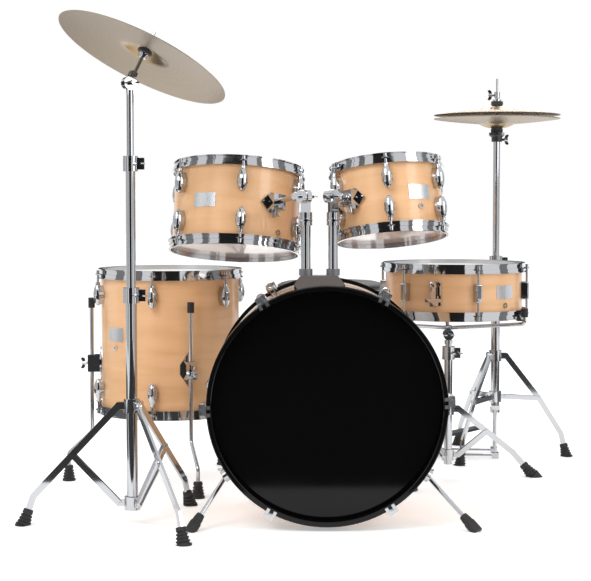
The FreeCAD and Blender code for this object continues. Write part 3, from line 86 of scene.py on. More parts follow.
class Finish:
    """The node tree of one finish, built up from patterns on the piece's own coordinates."""

    def __init__(self, name, colour, roughness, metallic=0.0, coat=0.0, coat_roughness=0.05):
        self.material = bpy.data.materials.new(name)
        self.material.use_nodes = True
        self.tree = self.material.node_tree
        self.shader = self.tree.nodes["Principled BSDF"]
        self.put("Base Color", (*colour, 1))
        self.put("Roughness", roughness)
        self.put("Metallic", metallic)
        self.put("Coat Weight", coat)
        self.put("Coat Roughness", coat_roughness)
        coordinates = self.tree.nodes.new("ShaderNodeTexCoord")
        self.object = coordinates.outputs["Object"]
        self.uv = coordinates.outputs["UV"]

    def put(self, socket, value):
        self.shader.inputs[socket].default_value = value

    def join(self, out, into):
        self.tree.links.new(out, into)

    def stretched(self, source, scale):
        mapping = self.tree.nodes.new("ShaderNodeMapping")
        mapping.inputs["Scale"].default_value = scale
        self.join(source, mapping.inputs["Vector"])
        return mapping.outputs["Vector"]

    def noise(self, source, scale, detail=3.0, stretch=None, distortion=0.0):
        texture = self.tree.nodes.new("ShaderNodeTexNoise")
        texture.inputs["Scale"].default_value = scale
        texture.inputs["Detail"].default_value = detail
        texture.inputs["Distortion"].default_value = distortion
        self.join(self.stretched(source, stretch) if stretch else source, texture.inputs["Vector"])
        return texture.outputs["Fac"]

    def cells(self, source, scale):
        texture = self.tree.nodes.new("ShaderNodeTexVoronoi")
        texture.inputs["Scale"].default_value = scale
        self.join(source, texture.inputs["Vector"])
        return texture.outputs["Distance"]

    def tinted(self, value, stops):
        """Base colour from a value, through (position, colour) stops."""
        ramp = colour_ramp(self.tree, stops)
        self.join(value, ramp.inputs["Fac"])
        self.join(ramp.outputs["Color"], self.shader.inputs["Base Color"])

    def spread(self, value, low, high):
        """Roughness that wanders between two values."""
        span = self.tree.nodes.new("ShaderNodeMapRange")
        span.inputs["To Min"].default_value = low
        span.inputs["To Max"].default_value = high
        self.join(value, span.inputs["Value"])
        self.join(span.outputs["Result"], self.shader.inputs["Roughness"])

    def relief(self, value, depth, strength=1.0):
        bump = self.tree.nodes.new("ShaderNodeBump")
        bump.inputs["Strength"].default_value = strength
        bump.inputs["Distance"].default_value = depth
        self.join(value, bump.inputs["Height"])
        self.join(bump.outputs["Normal"], self.shader.inputs["Normal"])


def make_finishes():
    made = {}

    chrome = Finish("bright_chrome", (0.53, 0.54, 0.56), 0.06, 1.0)
    chrome.spread(chrome.noise(chrome.object, 40, 2), 0.03, 0.09)
    made["chrome"] = chrome

    cast = Finish("satin_casting", (0.20, 0.20, 0.21), 0.3, 0.5)
    cast.spread(cast.noise(cast.object, 90, 3), 0.3, 0.42)
    cast.relief(cast.noise(cast.object, 420, 2), 0.0001, 0.4)
    made["casting"] = cast

    maple = Finish("lacquered_maple", (0.80, 0.50, 0.26), 0.38, 0, 0.55, 0.12)
    grain = maple.noise(maple.uv, 3.4, 6, (1.0, 7.0, 1.0), 0.5)
    maple.tinted(grain, [(0.25, (0.700, 0.372, 0.170)), (0.45, (0.790, 0.455, 0.225)),
                         (0.62, (0.835, 0.492, 0.256)), (0.85, (0.745, 0.410, 0.190))])
    maple.spread(maple.noise(maple.uv, 60, 3, (1.0, 14.0, 1.0)), 0.3, 0.44)
    maple.relief(maple.noise(maple.uv, 160, 3, (0.12, 6.0, 1.0)), 0.00006, 0.35)
    made["maple"] = maple

    lacquer = Finish("black_lacquer", (0.003, 0.003, 0.003), 0.12, 0, 0.15, 0.04)
    lacquer.put("Specular IOR Level", 0.2)
    lacquer.relief(lacquer.noise(lacquer.object, 30, 2), 0.0002, 0.1)
    made["lacquer"] = lacquer

    black_film = Finish("black_film", (0.002, 0.002, 0.002), 0.2)
    black_film.put("Specular IOR Level", 0.26)
    black_film.spread(black_film.noise(black_film.object, 14, 3), 0.07, 0.12)
    black_film.relief(black_film.noise(black_film.object, 6, 1), 0.0001, 0.05)
    made["black_film"] = black_film

    coated = Finish("coated_film", (0.86, 0.85, 0.82), 0.55)
    coated.relief(coated.noise(coated.object, 900, 2), 0.00006, 0.5)
    coated.tinted(coated.noise(coated.object, 9, 3),
                  [(0.3, (0.82, 0.81, 0.78)), (0.7, (0.88, 0.87, 0.85))])
    made["coated_film"] = coated

    clear = Finish("clear_film", (0.80, 0.70, 0.64), 0.16, 0, 0.5, 0.06)
    clear.tinted(clear.noise(clear.object, 7, 2),
                 [(0.3, (0.74, 0.60, 0.54)), (0.7, (0.84, 0.76, 0.72))])
    clear.relief(clear.noise(clear.object, 12, 1), 0.0003, 0.1)
    made["clear_film"] = clear

    bronze = Finish("turned_bronze", (0.37, 0.30, 0.22), 0.38, 0.8)
    bronze.tinted(bronze.noise(bronze.uv, 30, 4, (0.004, 9.0, 1.0)),
                  [(0.3, (0.33, 0.265, 0.19)), (0.5, (0.37, 0.30, 0.22)), (0.7, (0.41, 0.34, 0.255))])
    bronze.spread(bronze.noise(bronze.uv, 40, 3, (0.01, 12.0, 1.0)), 0.32, 0.42)
    bronze.relief(bronze.noise(bronze.uv, 90, 2, (0.002, 12.0, 1.0)), 0.00015, 0.5)
    made["bronze"] = bronze

    bell = Finish("bell_bronze", (0.50, 0.38, 0.23), 0.3, 0.9)
    bell.tinted(bell.noise(bell.uv, 30, 2, (0.01, 6.0, 1.0)),
                [(0.3, (0.36, 0.26, 0.14)), (0.7, (0.46, 0.35, 0.21))])
    bell.relief(bell.noise(bell.uv, 90, 1, (0.004, 10.0, 1.0)), 0.0001, 0.5)
    made["bell"] = bell

    rubber = Finish("black_rubber", (0.014, 0.014, 0.015), 0.62)
    rubber.spread(rubber.noise(rubber.object, 70, 3), 0.5, 0.75)
    rubber.relief(rubber.noise(rubber.object, 700, 2), 0.0001, 0.5)
    made["rubber"] = rubber

    wool = Finish("black_felt", (0.03, 0.03, 0.032), 0.95)
    wool.put("Sheen Weight", 0.4)
    wool.tinted(wool.noise(wool.object, 800, 3),
                [(0.35, (0.016, 0.016, 0.017)), (0.7, (0.06, 0.06, 0.062))])
    wool.relief(wool.noise(wool.object, 1100, 4), 0.0004, 0.8)
    made["felt"] = wool

    beater_felt = Finish("cream_felt", (0.70, 0.66, 0.56), 0.95)
    beater_felt.put("Sheen Weight", 0.5)
    beater_felt.relief(beater_felt.noise(beater_felt.object, 900, 4), 0.0004, 0.8)
    made["cream_felt"] = beater_felt

    vinyl = Finish("grained_vinyl", (0.02, 0.02, 0.022), 0.45)
    vinyl.spread(vinyl.noise(vinyl.object, 30, 3), 0.38, 0.55)
    vinyl.relief(vinyl.cells(vinyl.object, 620), 0.0004, 0.5)
    made["vinyl"] = vinyl

    top_vinyl = Finish("grained_top_vinyl", (0.05, 0.05, 0.054), 0.5)
    top_vinyl.spread(top_vinyl.noise(top_vinyl.object, 30, 3), 0.42, 0.6)
    top_vinyl.relief(top_vinyl.cells(top_vinyl.object, 560), 0.0004, 0.5)
    made["top_vinyl"] = top_vinyl

    paint = Finish("textured_black_paint", (0.02, 0.02, 0.021), 0.42, 0, 0.2, 0.3)
    paint.relief(paint.noise(paint.object, 900, 3), 0.0001, 0.5)
    paint.spread(paint.noise(paint.object, 50, 2), 0.34, 0.5)
    made["paint"] = paint

    satin = Finish("satin_plate", (0.70, 0.71, 0.73), 0.3, 1.0)
    satin.spread(satin.noise(satin.object, 500, 2, (1.0, 1.0, 0.05)), 0.22, 0.36)
    made["satin"] = satin

    plywood = Finish("raw_ply", (0.66, 0.46, 0.28), 0.7)
    plywood.tinted(plywood.noise(plywood.object, 20, 4),
                   [(0.3, (0.58, 0.38, 0.21)), (0.7, (0.72, 0.52, 0.33))])
    made["plywood"] = plywood
    return {name: finish.material for name, finish in made.items()}


FINISH = make_finishes()


# ---------------------------------------------------------------- putting pieces on the frame

def show(mesh, name, node, finishes, stands_for=True, angle=35):
    """Makes a piece of a finished mesh, and rides it on the body of its node."""
    piece = bpy.data.objects.new(name, mesh)
    bpy.context.scene.collection.objects.link(piece)
    for finish in finishes:
        mesh.materials.append(FINISH[finish])
    mesh.polygons.foreach_set("use_smooth", [True] * len(mesh.polygons))
    mesh.set_sharp_from_angle(angle=math.radians(angle))
    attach(piece, body_of_node[node])
    if stands_for:
        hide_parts(node)
    return piece


def axis_of(points):
    """Centre and axis of a ring of points all round an axis."""
    centre = points.mean(axis=0)
    values, vectors = np.linalg.eigh(np.cov((points - centre).T))
    odd = 0 if abs(values[1] - values[0]) > abs(values[2] - values[1]) else 2
    axis = Vector(vectors[:, odd])
    if axis.z < -0.1:
        axis.negate()
    return Vector(centre), axis


def upright(centre, axis):
    """A matrix that puts +Z on the axis at the centre."""
    return Matrix.Translation(centre) @ axis.to_track_quat("Z", "Y").to_matrix().to_4x4()


def wrap_round(mesh, place):
    """A UV map in metres: round the axis, and along it or out from it."""
    layer = mesh.uv_layers.new(name="Wrap")
    inverse = place.inverted()
    points = [inverse @ vertex.co for vertex in mesh.vertices]
    reach = max(math.hypot(p.x, p.y) for p in points)
    for face in mesh.polygons:
        around = [math.atan2(points[v].y, points[v].x) for v in face.vertices]
        if max(around) - min(around) > math.pi:
            around = [a + math.tau if a < 0 else a for a in around]
        for loop, v, a in zip(face.loop_indices, face.vertices, around):
            layer.data[loop].uv = (a * reach, points[v].z + math.hypot(points[v].x, points[v].y))


def loose_parts(node):
    """A node's separate solids, each as a list of (vertices, faces), merged first."""
    work = bmesh.new()
    work.from_mesh(frame["nodes"][node].data)
    bmesh.ops.remove_doubles(work, verts=work.verts, dist=MERGE_DISTANCE)
    work.verts.ensure_lookup_table()
    seen = set()
    parts = []
    for seed in work.verts:
        if seed.index in seen or not seed.link_faces:
            continue
        seen.add(seed.index)
        stack, order = [seed], []
        while stack:
            vert = stack.pop()
            order.append(vert)
            for edge in vert.link_edges:
                other = edge.other_vert(vert)
                if other.index not in seen:
                    seen.add(other.index)
                    stack.append(other)
        number = {vert.index: i for i, vert in enumerate(order)}
        faces = {face for vert in order for face in vert.link_faces}
        faces = sorted(faces, key=lambda face: face.index)
        parts.append((np.array([vert.co[:] for vert in order]),
                      [[number[v.index] for v in face.verts] for face in faces]))
    work.free()
    return parts


def refined(node, choose, angle=35, wrapped=None, again=None):
    """A node's solids as one smooth piece, each solid with the finish that choose gives it.

    choose takes a solid's lowest corner, highest corner and points, and gives a finish or None.
    again takes a face's middle, and may give another finish where solids share an edge.
    """
    groups = {}
    for points, faces in loose_parts(node):
        finish = choose(points.min(axis=0), points.max(axis=0), points)
        if finish:
            groups.setdefault(finish, []).append((points, faces))
    names = sorted(groups)
    vertices, polygons, indices = [], [], []
    for slot_number, finish in enumerate(names):
        for points, faces in groups[finish]:
            start = len(vertices)
            vertices += points.tolist()
            polygons += [[start + i for i in face] for face in faces]
            indices += [slot_number] * len(faces)
    mesh = bpy.data.meshes.new(node + "_fine")
    mesh.from_pydata(vertices, [], polygons)
    mesh.polygons.foreach_set("material_index", indices)
    if again:
        for face in mesh.polygons:
            other = again(face.center)
            if other:
                if other not in names:
                    names.append(other)
                face.material_index = names.index(other)
    if wrapped:
        wrap_round(mesh, wrapped)
    return show(mesh, node + "_fine", node, names, angle=angle)


def all_of(finish):
    """A choice that gives each solid the same finish."""
    return lambda low, high, points: finish


def lathe(profile, place, segments=144, closed=True):
    """A mesh turned about Z from (radius, height) corners in metres, then placed."""
    mesh = bpy.data.meshes.new("turned")
    vertices, faces, uvs = [], [], []
    lengths = [0.0]
    for (r0, z0), (r1, z1) in zip(profile, profile[1:]):
        lengths.append(lengths[-1] + math.hypot(r1 - r0, z1 - z0))
    rows = []
    for r, z in profile:
        if r < 1e-7:
            rows.append([len(vertices)] * segments)
            vertices.append((0, 0, z))
            continue
        rows.append(list(range(len(vertices), len(vertices) + segments)))
        for i in range(segments):
            a = math.tau * i / segments
            vertices.append((r * math.cos(a), r * math.sin(a), z))
    reach = max(r for r, z in profile)
    pairs = list(zip(range(len(rows)), range(1, len(rows))))
    if closed:
        pairs.append((len(rows) - 1, 0))
    for a, b in pairs:
        for i in range(segments):
            j = (i + 1) % segments
            corners = [(rows[a][i], i, a), (rows[a][j], i + 1, a),
                       (rows[b][j], i + 1, b), (rows[b][i], i, b)]
            kept = []
            for corner in corners:
                if corner[0] not in [k[0] for k in kept]:
                    kept.append(corner)
            if len(kept) < 3:
                continue
            faces.append([k[0] for k in kept])
            uvs += [(math.tau * k[1] / segments * reach, lengths[k[2]]) for k in kept]
    mesh.from_pydata(vertices, [], faces)
    layer = mesh.uv_layers.new(name="Wrap")
    for loop, uv in zip(layer.data, uvs):
        loop.uv = uv
    work = bmesh.new()
    work.from_mesh(mesh)
    bmesh.ops.recalc_face_normals(work, faces=work.faces)
    work.to_mesh(mesh)
    work.free()
    mesh.transform(place)
    return mesh


def points_of(node):
    mesh = frame["nodes"][node].data
    points = np.zeros(len(mesh.vertices) * 3)
    mesh.vertices.foreach_get("co", points)
    return points.reshape(-1, 3)


# ---------------------------------------------------------------- drums

DRUMS = ("bass", "floor_tom", "tom_left", "tom_right", "snare")


def drum_place(name):
    """The middle of a drum, with +Z on its axis, and its shell's radius and half depth."""
    points = points_of(name + "_shell")
    centre, axis = axis_of(points)
    if name == "bass":
        axis = Vector((0, -1, 0))
        lo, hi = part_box("bass_shell")
        centre = (lo + hi) / 2
    away = points - np.array(centre)
    height = away @ np.array(axis)
    radius = np.linalg.norm(away - np.outer(height, np.array(axis)), axis=1).max()
    return upright(centre, axis), radius, np.abs(height).max()


def head_finish(name, place):
    """Which film a head has: the batter side is coated, the other clear, and the bass front black."""
    inverse = place.inverted()

    def choose(low, high, points):
        side = (inverse @ Vector(points.mean(axis=0))).z
        if name == "bass":
            return "black_film" if side > 0 else "coated_film"
        return "coated_film" if side > 0 else "clear_film"
    return choose


def spans_of(points):
    """A solid's extents along its own three main directions, longest first."""
    away = points - points.mean(axis=0)
    directions = np.linalg.eigh(np.cov(away.T))[1]
    return np.sort(np.ptp(away @ directions, axis=0))[::-1]


def lug_finish(low, high, points):
    """Badges are thin curved plates in satin metal; all else on a shell is chrome."""
    spans = spans_of(points)
    return "satin" if spans[1] > 0.03 and spans[2] < 0.014 else "chrome"


def dress_drums():
    for name in DRUMS:
        place = drum_place(name)[0]
        refined(name + "_shell", all_of("maple"), wrapped=place)
        refined(name + "_heads", head_finish(name, place))
        refined(name + "_hoops", all_of("lacquer" if name == "bass" else "chrome"))
        refined(name + "_lugs", lug_finish, angle=40)
    refined("bass_claws", all_of("satin"), angle=40)


# ---------------------------------------------------------------- cymbals

def cymbal_profile(radius, bell, rise, bow, bore, thick):
    """Upper and lower line of a cymbal, its bell's top at height 0."""
    def line(lift):
        points = []
        for i in range(9):
            t = i / 8
            r = bore + (bell - bore) * t
            points.append((r, -rise * (1 - math.cos(math.pi * 0.5 * t ** 1.25)) - lift))
        for i in range(1, 13):
            t = i / 12
            points.append((bell + (radius - bell) * t, -rise - bow * (0.62 * t + 0.38 * t * t) - lift))
        return points
    top = line(0)
    under = [(r, z) for r, z in line(thick)]
    rim_r, rim_z = top[-1]
    top[-1] = (rim_r - 0.0006, rim_z)
    under[-1] = (rim_r - 0.0006, rim_z - thick)
    return top + [(rim_r, rim_z - thick / 2)] + under[::-1]


def dress_cymbals():
    for node, side in (("crash_cymbal", 1), ("hihat_top_cymbal", 1), ("hihat_bottom_cymbal", -1)):
        points = points_of(node)
        centre, axis = axis_of(points)
        away = points - np.array(centre)
        height = away @ np.array(axis)
        out = np.linalg.norm(away - np.outer(height, np.array(axis)), axis=1)
        radius, bore = out.max(), out.min()
        bell_top = (height.max() if side == 1 else height.min())
        bell_r, rise, thick = 0.052, 0.013, 0.0016
        bow = (height.max() - height.min()) - rise - thick
        flip = Matrix.Identity(4) if side == 1 else Matrix.Rotation(math.pi, 4, "X")
        place = upright(centre + axis * bell_top, axis) @ flip
        mesh = lathe(cymbal_profile(radius, bell_r, rise, bow, bore, thick), place, 160)
        inverse = place.inverted()
        for face in mesh.polygons:
            at = inverse @ face.center
            face.material_index = 1 if math.hypot(at.x, at.y) < bell_r * 0.97 else 0
        show(mesh, node + "_turned", node, ["bronze", "bell"], angle=50)


# ---------------------------------------------------------------- metalwork

def wide(size):
    return max(size[0], size[1])


def stand_finish(low, high, points):
    """Rubber feet are the short wide solids near the floor; the rest of a stand is chrome."""
    size = high - low
    if low[2] < FLOOR_SLACK and size[2] < STAND_FOOT and wide(size) < 0.09:
        return "rubber"
    return "chrome"


def felt_between(lowest, highest):
    """Felts are the short round solids between two heights; the rest is chrome."""
    def choose(low, high, points):
        size = high - low
        round_one = abs(size[0] - size[1]) < 0.002 and 0.024 < size[0] < 0.036 and size[2] < 0.0125
        return "felt" if round_one and lowest < low[2] < highest else "chrome"
    return choose


def is_felt(points):
    """A felt is a squat ring 34 mm across."""
    spans = spans_of(points)
    return 0.032 < spans[0] < 0.036 and spans[1] > 0.031 and spans[2] < 0.0135


def dress_metal():
    for node in ("snare_stand_base", "throne_base", "crash_leg_1", "crash_leg_2", "crash_leg_3"):
        refined(node, stand_finish)

    def hat_base(low, high, points):
        size = high - low
        if low[2] < FLOOR_SLACK and size[2] < STAND_FOOT and 0.03 < wide(size) < 0.06:
            return "rubber"
        return "chrome"
    refined("hihat_stand_base", hat_base)

    tip_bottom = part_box("floor_tom_legs")[1].z - ROD_TIP

    def rod_ends(at):
        return "rubber" if at.z < ROD_FOOT_TOP or at.z > tip_bottom else None
    refined("floor_tom_legs", all_of("chrome"), again=rod_ends)

    def spur_tips(low, high, points):
        return "rubber" if low[2] < FLOOR_SLACK and high[2] - low[2] < 0.07 else "chrome"
    refined("spur_left", spur_tips)
    refined("spur_right", spur_tips)

    def grips(low, high, points):
        size = high - low
        return "rubber" if wide(size) < 0.03 and size[2] < 0.03 else "chrome"
    refined("snare_basket", grips)

    def tilter(low, high, points):
        return "felt" if is_felt(points) else "chrome"
    refined("crash_tilter", tilter)

    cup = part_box("hihat_upper_tube")[1].z - HAT_CUP_DEPTH
    rod = points_of("hihat_pull_rod").mean(axis=0)

    def hat_seat(at):
        away = math.hypot(at.x - rod[0], at.y - rod[1])
        if at.z < cup - 0.0005 or away > HAT_CUP_RADIUS:
            return None
        return "felt" if at.z > cup + HAT_CUP_HEIGHT else "paint"
    refined("hihat_upper_tube", all_of("chrome"), again=hat_seat)
    refined("hihat_pull_rod", felt_between(0.95, 1.02))

    def beater(low, high, points):
        return "cream_felt" if wide(high - low) < 0.06 else "chrome"
    refined("pedal_beater", beater)

    def holder(low, high, points):
        return "casting" if (high - low)[0] > 0.06 else "chrome"
    middle = (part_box("tom_holder")[0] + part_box("tom_holder")[1]) / 2
    refined("tom_holder", holder,
            again=lambda at: "chrome" if abs(at.x - middle.x) > HOLDER_FACE else None)

    for node in ("hihat_footboard", "pedal_footboard"):
        refined(node, all_of("paint"))
    plain = ("spur_brackets", "floor_tom_leg_brackets", "tom_left_bracket", "tom_left_post",
             "tom_right_bracket", "tom_right_post", "snare_strainer", "snare_throw_off_lever",
             "snare_upper_tube", "crash_base_tube", "crash_leg_collar", "crash_brace_1",
             "crash_brace_2", "crash_brace_3", "crash_middle_tube", "crash_upper_tube",
             "throne_post", "pedal_frame")
    for node in plain:
        refined(node, all_of("chrome"))


# ---------------------------------------------------------------- throne seat

def dress_throne():
    lo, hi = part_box("throne_seat")
    middle = (lo + hi) / 2
    cushion = max(loose_parts("throne_seat"), key=lambda part: np.ptp(part[0][:, 0]))[0]
    low, high = cushion.min(axis=0), cushion.max(axis=0)
    radius = (high[0] - low[0]) / 2
    base, top = low[2], high[2]
    tall = top - base
    place = Matrix.Translation((middle.x, middle.y, base))
    side = [(0.0, 0.0), (radius - 0.016, 0.0), (radius - 0.006, 0.003), (radius - 0.002, 0.012),
            (radius - 0.0005, tall * 0.4), (radius - 0.001, tall - 0.024),
            (radius - 0.004, tall - 0.019)]
    seam = [(radius - 0.0055, tall - 0.0175), (radius - 0.0035, tall - 0.0145),
            (radius - 0.006, tall - 0.0115)]
    crown = [(radius - 0.008, tall - 0.0125), (radius - 0.014, tall - 0.007),
             (radius - 0.03, tall - 0.003), (radius - 0.06, tall - 0.001),
             (radius * 0.4, tall), (0.0, tall)]
    mesh = lathe(side + seam + crown, place, 160, closed=False)
    for face in mesh.polygons:
        if face.center.z > base + tall - 0.0118:
            face.material_index = 1
    seat = show(mesh, "throne_cushion", "throne_seat", ["vinyl", "top_vinyl"], angle=60)

    def hardware(low, high, points):
        size = high - low
        if size[0] > radius * 1.9:
            return None
        return "plywood" if size[0] > 0.2 else "chrome"
    refined("throne_seat", hardware)


# ---------------------------------------------------------------- repeated detail, by Geometry Nodes

def tree_with(name, sizes):
    """A new Geometry Nodes tree with a curve or mesh coming in, named sizes, and a result."""
    tree = bpy.data.node_groups.new(name, "GeometryNodeTree")
    tree.interface.new_socket("Geometry", in_out="INPUT", socket_type="NodeSocketGeometry")
    for label, kind, value in sizes:
        socket = tree.interface.new_socket(label, in_out="INPUT", socket_type=kind)
        if value is not None:
            socket.default_value = value
    tree.interface.new_socket("Geometry", in_out="OUTPUT", socket_type="NodeSocketGeometry")
    start = tree.nodes.new("NodeGroupInput")
    end = tree.nodes.new("NodeGroupOutput")
    realize = tree.nodes.new("GeometryNodeRealizeInstances")
    finish = tree.nodes.new("GeometryNodeSetMaterial")
    tree.links.new(start.outputs["Finish"], finish.inputs["Material"])
    tree.links.new(realize.outputs[0], finish.inputs["Geometry"])
    tree.links.new(finish.outputs["Geometry"], end.inputs[0])
    return tree, start, realize


def teeth_tree():
    """Radial teeth in a ring: count, radius, and each tooth's size."""
    tree, start, realize = tree_with("ring_of_teeth", [
        ("Finish", "NodeSocketMaterial", None), ("Count", "NodeSocketInt", 36),
        ("Radius", "NodeSocketFloat", 0.014), ("Tooth", "NodeSocketVector", (0.005, 0.0009, 0.0012))])
    circle = tree.nodes.new("GeometryNodeMeshCircle")
    tree.links.new(start.outputs["Count"], circle.inputs["Vertices"])
    tree.links.new(start.outputs["Radius"], circle.inputs["Radius"])
    tooth = tree.nodes.new("GeometryNodeMeshCube")
    tree.links.new(start.outputs["Tooth"], tooth.inputs["Size"])
    position = tree.nodes.new("GeometryNodeInputPosition")
    aligned = tree.nodes.new("FunctionNodeAlignEulerToVector")
    aligned.axis = "X"
    aligned.pivot_axis = "Z"
    tree.links.new(position.outputs[0], aligned.inputs["Vector"])
    instances = tree.nodes.new("GeometryNodeInstanceOnPoints")
    tree.links.new(circle.outputs["Mesh"], instances.inputs["Points"])
    tree.links.new(tooth.outputs["Mesh"], instances.inputs["Instance"])
    tree.links.new(aligned.outputs["Rotation"], instances.inputs["Rotation"])
    tree.links.new(instances.outputs[0], realize.inputs[0])
    return tree


def wound_tree():
    """A wire wound about a straight line from the origin along +X."""
    tree, start, realize = tree_with("wound_wire", [
        ("Finish", "NodeSocketMaterial", None), ("Turns", "NodeSocketFloat", 100.0),
        ("Length", "NodeSocketFloat", 0.28), ("Coil radius", "NodeSocketFloat", 0.001),
        ("Wire radius", "NodeSocketFloat", 0.0002)])
    spiral = tree.nodes.new("GeometryNodeCurveSpiral")
    spiral.inputs["Resolution"].default_value = 8
    tree.links.new(start.outputs["Turns"], spiral.inputs["Rotations"])
    tree.links.new(start.outputs["Length"], spiral.inputs["Height"])
    for end in ("Start Radius", "End Radius"):
        tree.links.new(start.outputs["Coil radius"], spiral.inputs[end])
    wire = tree.nodes.new("GeometryNodeCurvePrimitiveCircle")
    wire.inputs["Resolution"].default_value = 4
    tree.links.new(start.outputs["Wire radius"], wire.inputs["Radius"])
    swept = tree.nodes.new("GeometryNodeCurveToMesh")
    swept.inputs["Fill Caps"].default_value = True
    tree.links.new(spiral.outputs["Curve"], swept.inputs["Curve"])
    tree.links.new(wire.outputs["Curve"], swept.inputs["Profile Curve"])
    tree.links.new(swept.outputs["Mesh"], realize.inputs[0])
    return tree


def links_tree():
    """Flat chain rollers along the incoming line of points, one at each point."""
    tree, start, realize = tree_with("chain_links", [
        ("Finish", "NodeSocketMaterial", None), ("Roller radius", "NodeSocketFloat", 0.0028),
        ("Width", "NodeSocketFloat", 0.006), ("Pitch", "NodeSocketFloat", 0.0064)])
    resampled = tree.nodes.new("GeometryNodeResampleCurve")
    resampled.mode = "LENGTH"
    tree.links.new(start.outputs["Geometry"], resampled.inputs["Curve"])
    tree.links.new(start.outputs["Pitch"], resampled.inputs["Length"])
    roller = tree.nodes.new("GeometryNodeMeshCylinder")
    roller.inputs["Vertices"].default_value = 12
    tree.links.new(start.outputs["Roller radius"], roller.inputs["Radius"])
    tree.links.new(start.outputs["Width"], roller.inputs["Depth"])
    tangent = tree.nodes.new("GeometryNodeInputTangent")
    aligned = tree.nodes.new("FunctionNodeAlignEulerToVector")
    aligned.axis = "X"
    tree.links.new(tangent.outputs[0], aligned.inputs["Vector"])
    tipped = tree.nodes.new("GeometryNodeTransform")
    tipped.inputs["Rotation"].default_value = (math.pi / 2, 0, 0)
    tree.links.new(roller.outputs["Mesh"], tipped.inputs["Geometry"])
    instances = tree.nodes.new("GeometryNodeInstanceOnPoints")
    tree.links.new(resampled.outputs[0], instances.inputs["Points"])
    tree.links.new(tipped.outputs[0], instances.inputs["Instance"])
    tree.links.new(aligned.outputs["Rotation"], instances.inputs["Rotation"])
    tree.links.new(instances.outputs[0], realize.inputs[0])
    return tree


def grown(tree, finish, sizes, place, line=None):
    """The mesh that a tree makes with these sizes, as plain mesh data put in its place."""
    if line:
        curve = bpy.data.curves.new("line", "CURVE")
        curve.dimensions = "3D"
        spline = curve.splines.new("POLY")
        spline.points.add(len(line) - 1)
        for point, at in zip(spline.points, line):
            point.co = (*at, 1)
        seed = bpy.data.objects.new("seed", curve)
    else:
        seed = bpy.data.objects.new("seed", bpy.data.meshes.new("seed"))
    bpy.context.scene.collection.objects.link(seed)
    modifier = seed.modifiers.new("Detail", "NODES")
    modifier.node_group = tree
    for item in tree.interface.items_tree:
        if item.item_type == "SOCKET" and item.in_out == "INPUT" and item.name in sizes:
            modifier[item.identifier] = sizes[item.name]
        if item.item_type == "SOCKET" and item.in_out == "INPUT" and item.name == "Finish":
            modifier[item.identifier] = FINISH[finish]
    evaluated = seed.evaluated_get(bpy.context.evaluated_depsgraph_get())
    mesh = bpy.data.meshes.new_from_object(evaluated)
    mesh.materials.clear()
    mesh.transform(place)
    bpy.data.objects.remove(seed)
    return mesh


def merged(meshes):
    """Several meshes as one."""
    work = bmesh.new()
    for mesh in meshes:
        work.from_mesh(mesh)
    whole = bpy.data.meshes.new("merged")
    work.to_mesh(whole)
    work.free()
    return whole


def add_ratchets():
    """Toothed rings between the two halves of each tilter."""
    teeth = teeth_tree()
    for name, node, radius in (("tom_left_tilt", "tom_left_post", 0.0135),
                               ("tom_right_tilt", "tom_right_post", 0.0135),
                               ("snare_tilt", "snare_upper_tube", 0.0115),
                               ("crash_tilt", "crash_upper_tube", 0.0125)):
        axis = Vector(joints[name]["axis"]).normalized()
        pivot = Vector(joints[name]["pos_m"])
        gap = 0.0061 if node != "crash_upper_tube" else 0.0052
        place = upright(pivot + axis * gap, axis)
        mesh = grown(teeth, "chrome", {"Count": 40, "Radius": radius, "Tooth": (0.004, 0.0008, 0.0003)},
                     place)
        show(mesh, node + "_teeth", node, ["chrome"], stands_for=False)


def add_snare_wires():
    """Wound wires under the snare drum, beside the plain strands of the strainer."""
    place, radius, half = drum_place("snare")
    lever = Vector(joints["snare_throw_off"]["axis"]).normalized()
    centre = place.translation
    across = Vector((0, 0, 1)).cross(lever)
    length = 2 * radius - 0.07
    wound = wound_tree()
    base = grown(wound, "satin", {"Turns": length / 0.0024, "Length": length, "Coil radius": 0.0009,
                                  "Wire radius": 0.00022}, Matrix.Identity(4))
    frame_x = Matrix((across.to_3d(), Vector((0, 0, 1)), lever)).transposed().to_4x4()
    strands = []
    for i in range(WIRE_COUNT):
        strand = base.copy()
        start = centre - lever * (length / 2) + across * ((i - (WIRE_COUNT - 1) / 2) * WIRE_STEP)
        start.z = centre.z - half - 0.0008 - 0.0013
        strand.transform(Matrix.Translation(start) @ frame_x)
        strands.append(strand)
    show(merged(strands), "snare_wound_wires", "snare_strainer", ["satin"], stands_for=False, angle=60)


def add_hat_chain():
    """The chain from the hi-hat foot board's toe to the pull rod, narrow enough for the tube."""
    links = links_tree()
    rod = points_of("hihat_pull_rod")
    tip = rod[rod[:, 2] < rod[:, 2].min() + 0.001].mean(axis=0)
    toe_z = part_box("hihat_footboard")[1].z - 0.012
    line = [(tip[0], tip[1], toe_z), (tip[0], tip[1], tip[2])]
    narrow = {"Roller radius": 0.0019, "Width": 0.004, "Pitch": 0.0046}
    mesh = grown(links, "satin", narrow, Matrix.Identity(4), line)
    show(mesh, "hihat_chain", "hihat_pull_rod", ["satin"], stands_for=False)


# ---------------------------------------------------------------- studio

def seen_by(tree):
    """1 for rays from the camera and for rays that bounced off metal or went through glass."""
    path = tree.nodes.new("ShaderNodeLightPath")
    total = path.outputs["Is Camera Ray"]
    for name in ("Is Glossy Ray", "Is Transmission Ray"):
        add = tree.nodes.new("ShaderNodeMath")
        add.operation = "MAXIMUM"
        tree.links.new(total, add.inputs[0])
        tree.links.new(path.outputs[name], add.inputs[1])
        total = add.outputs[0]
    return total


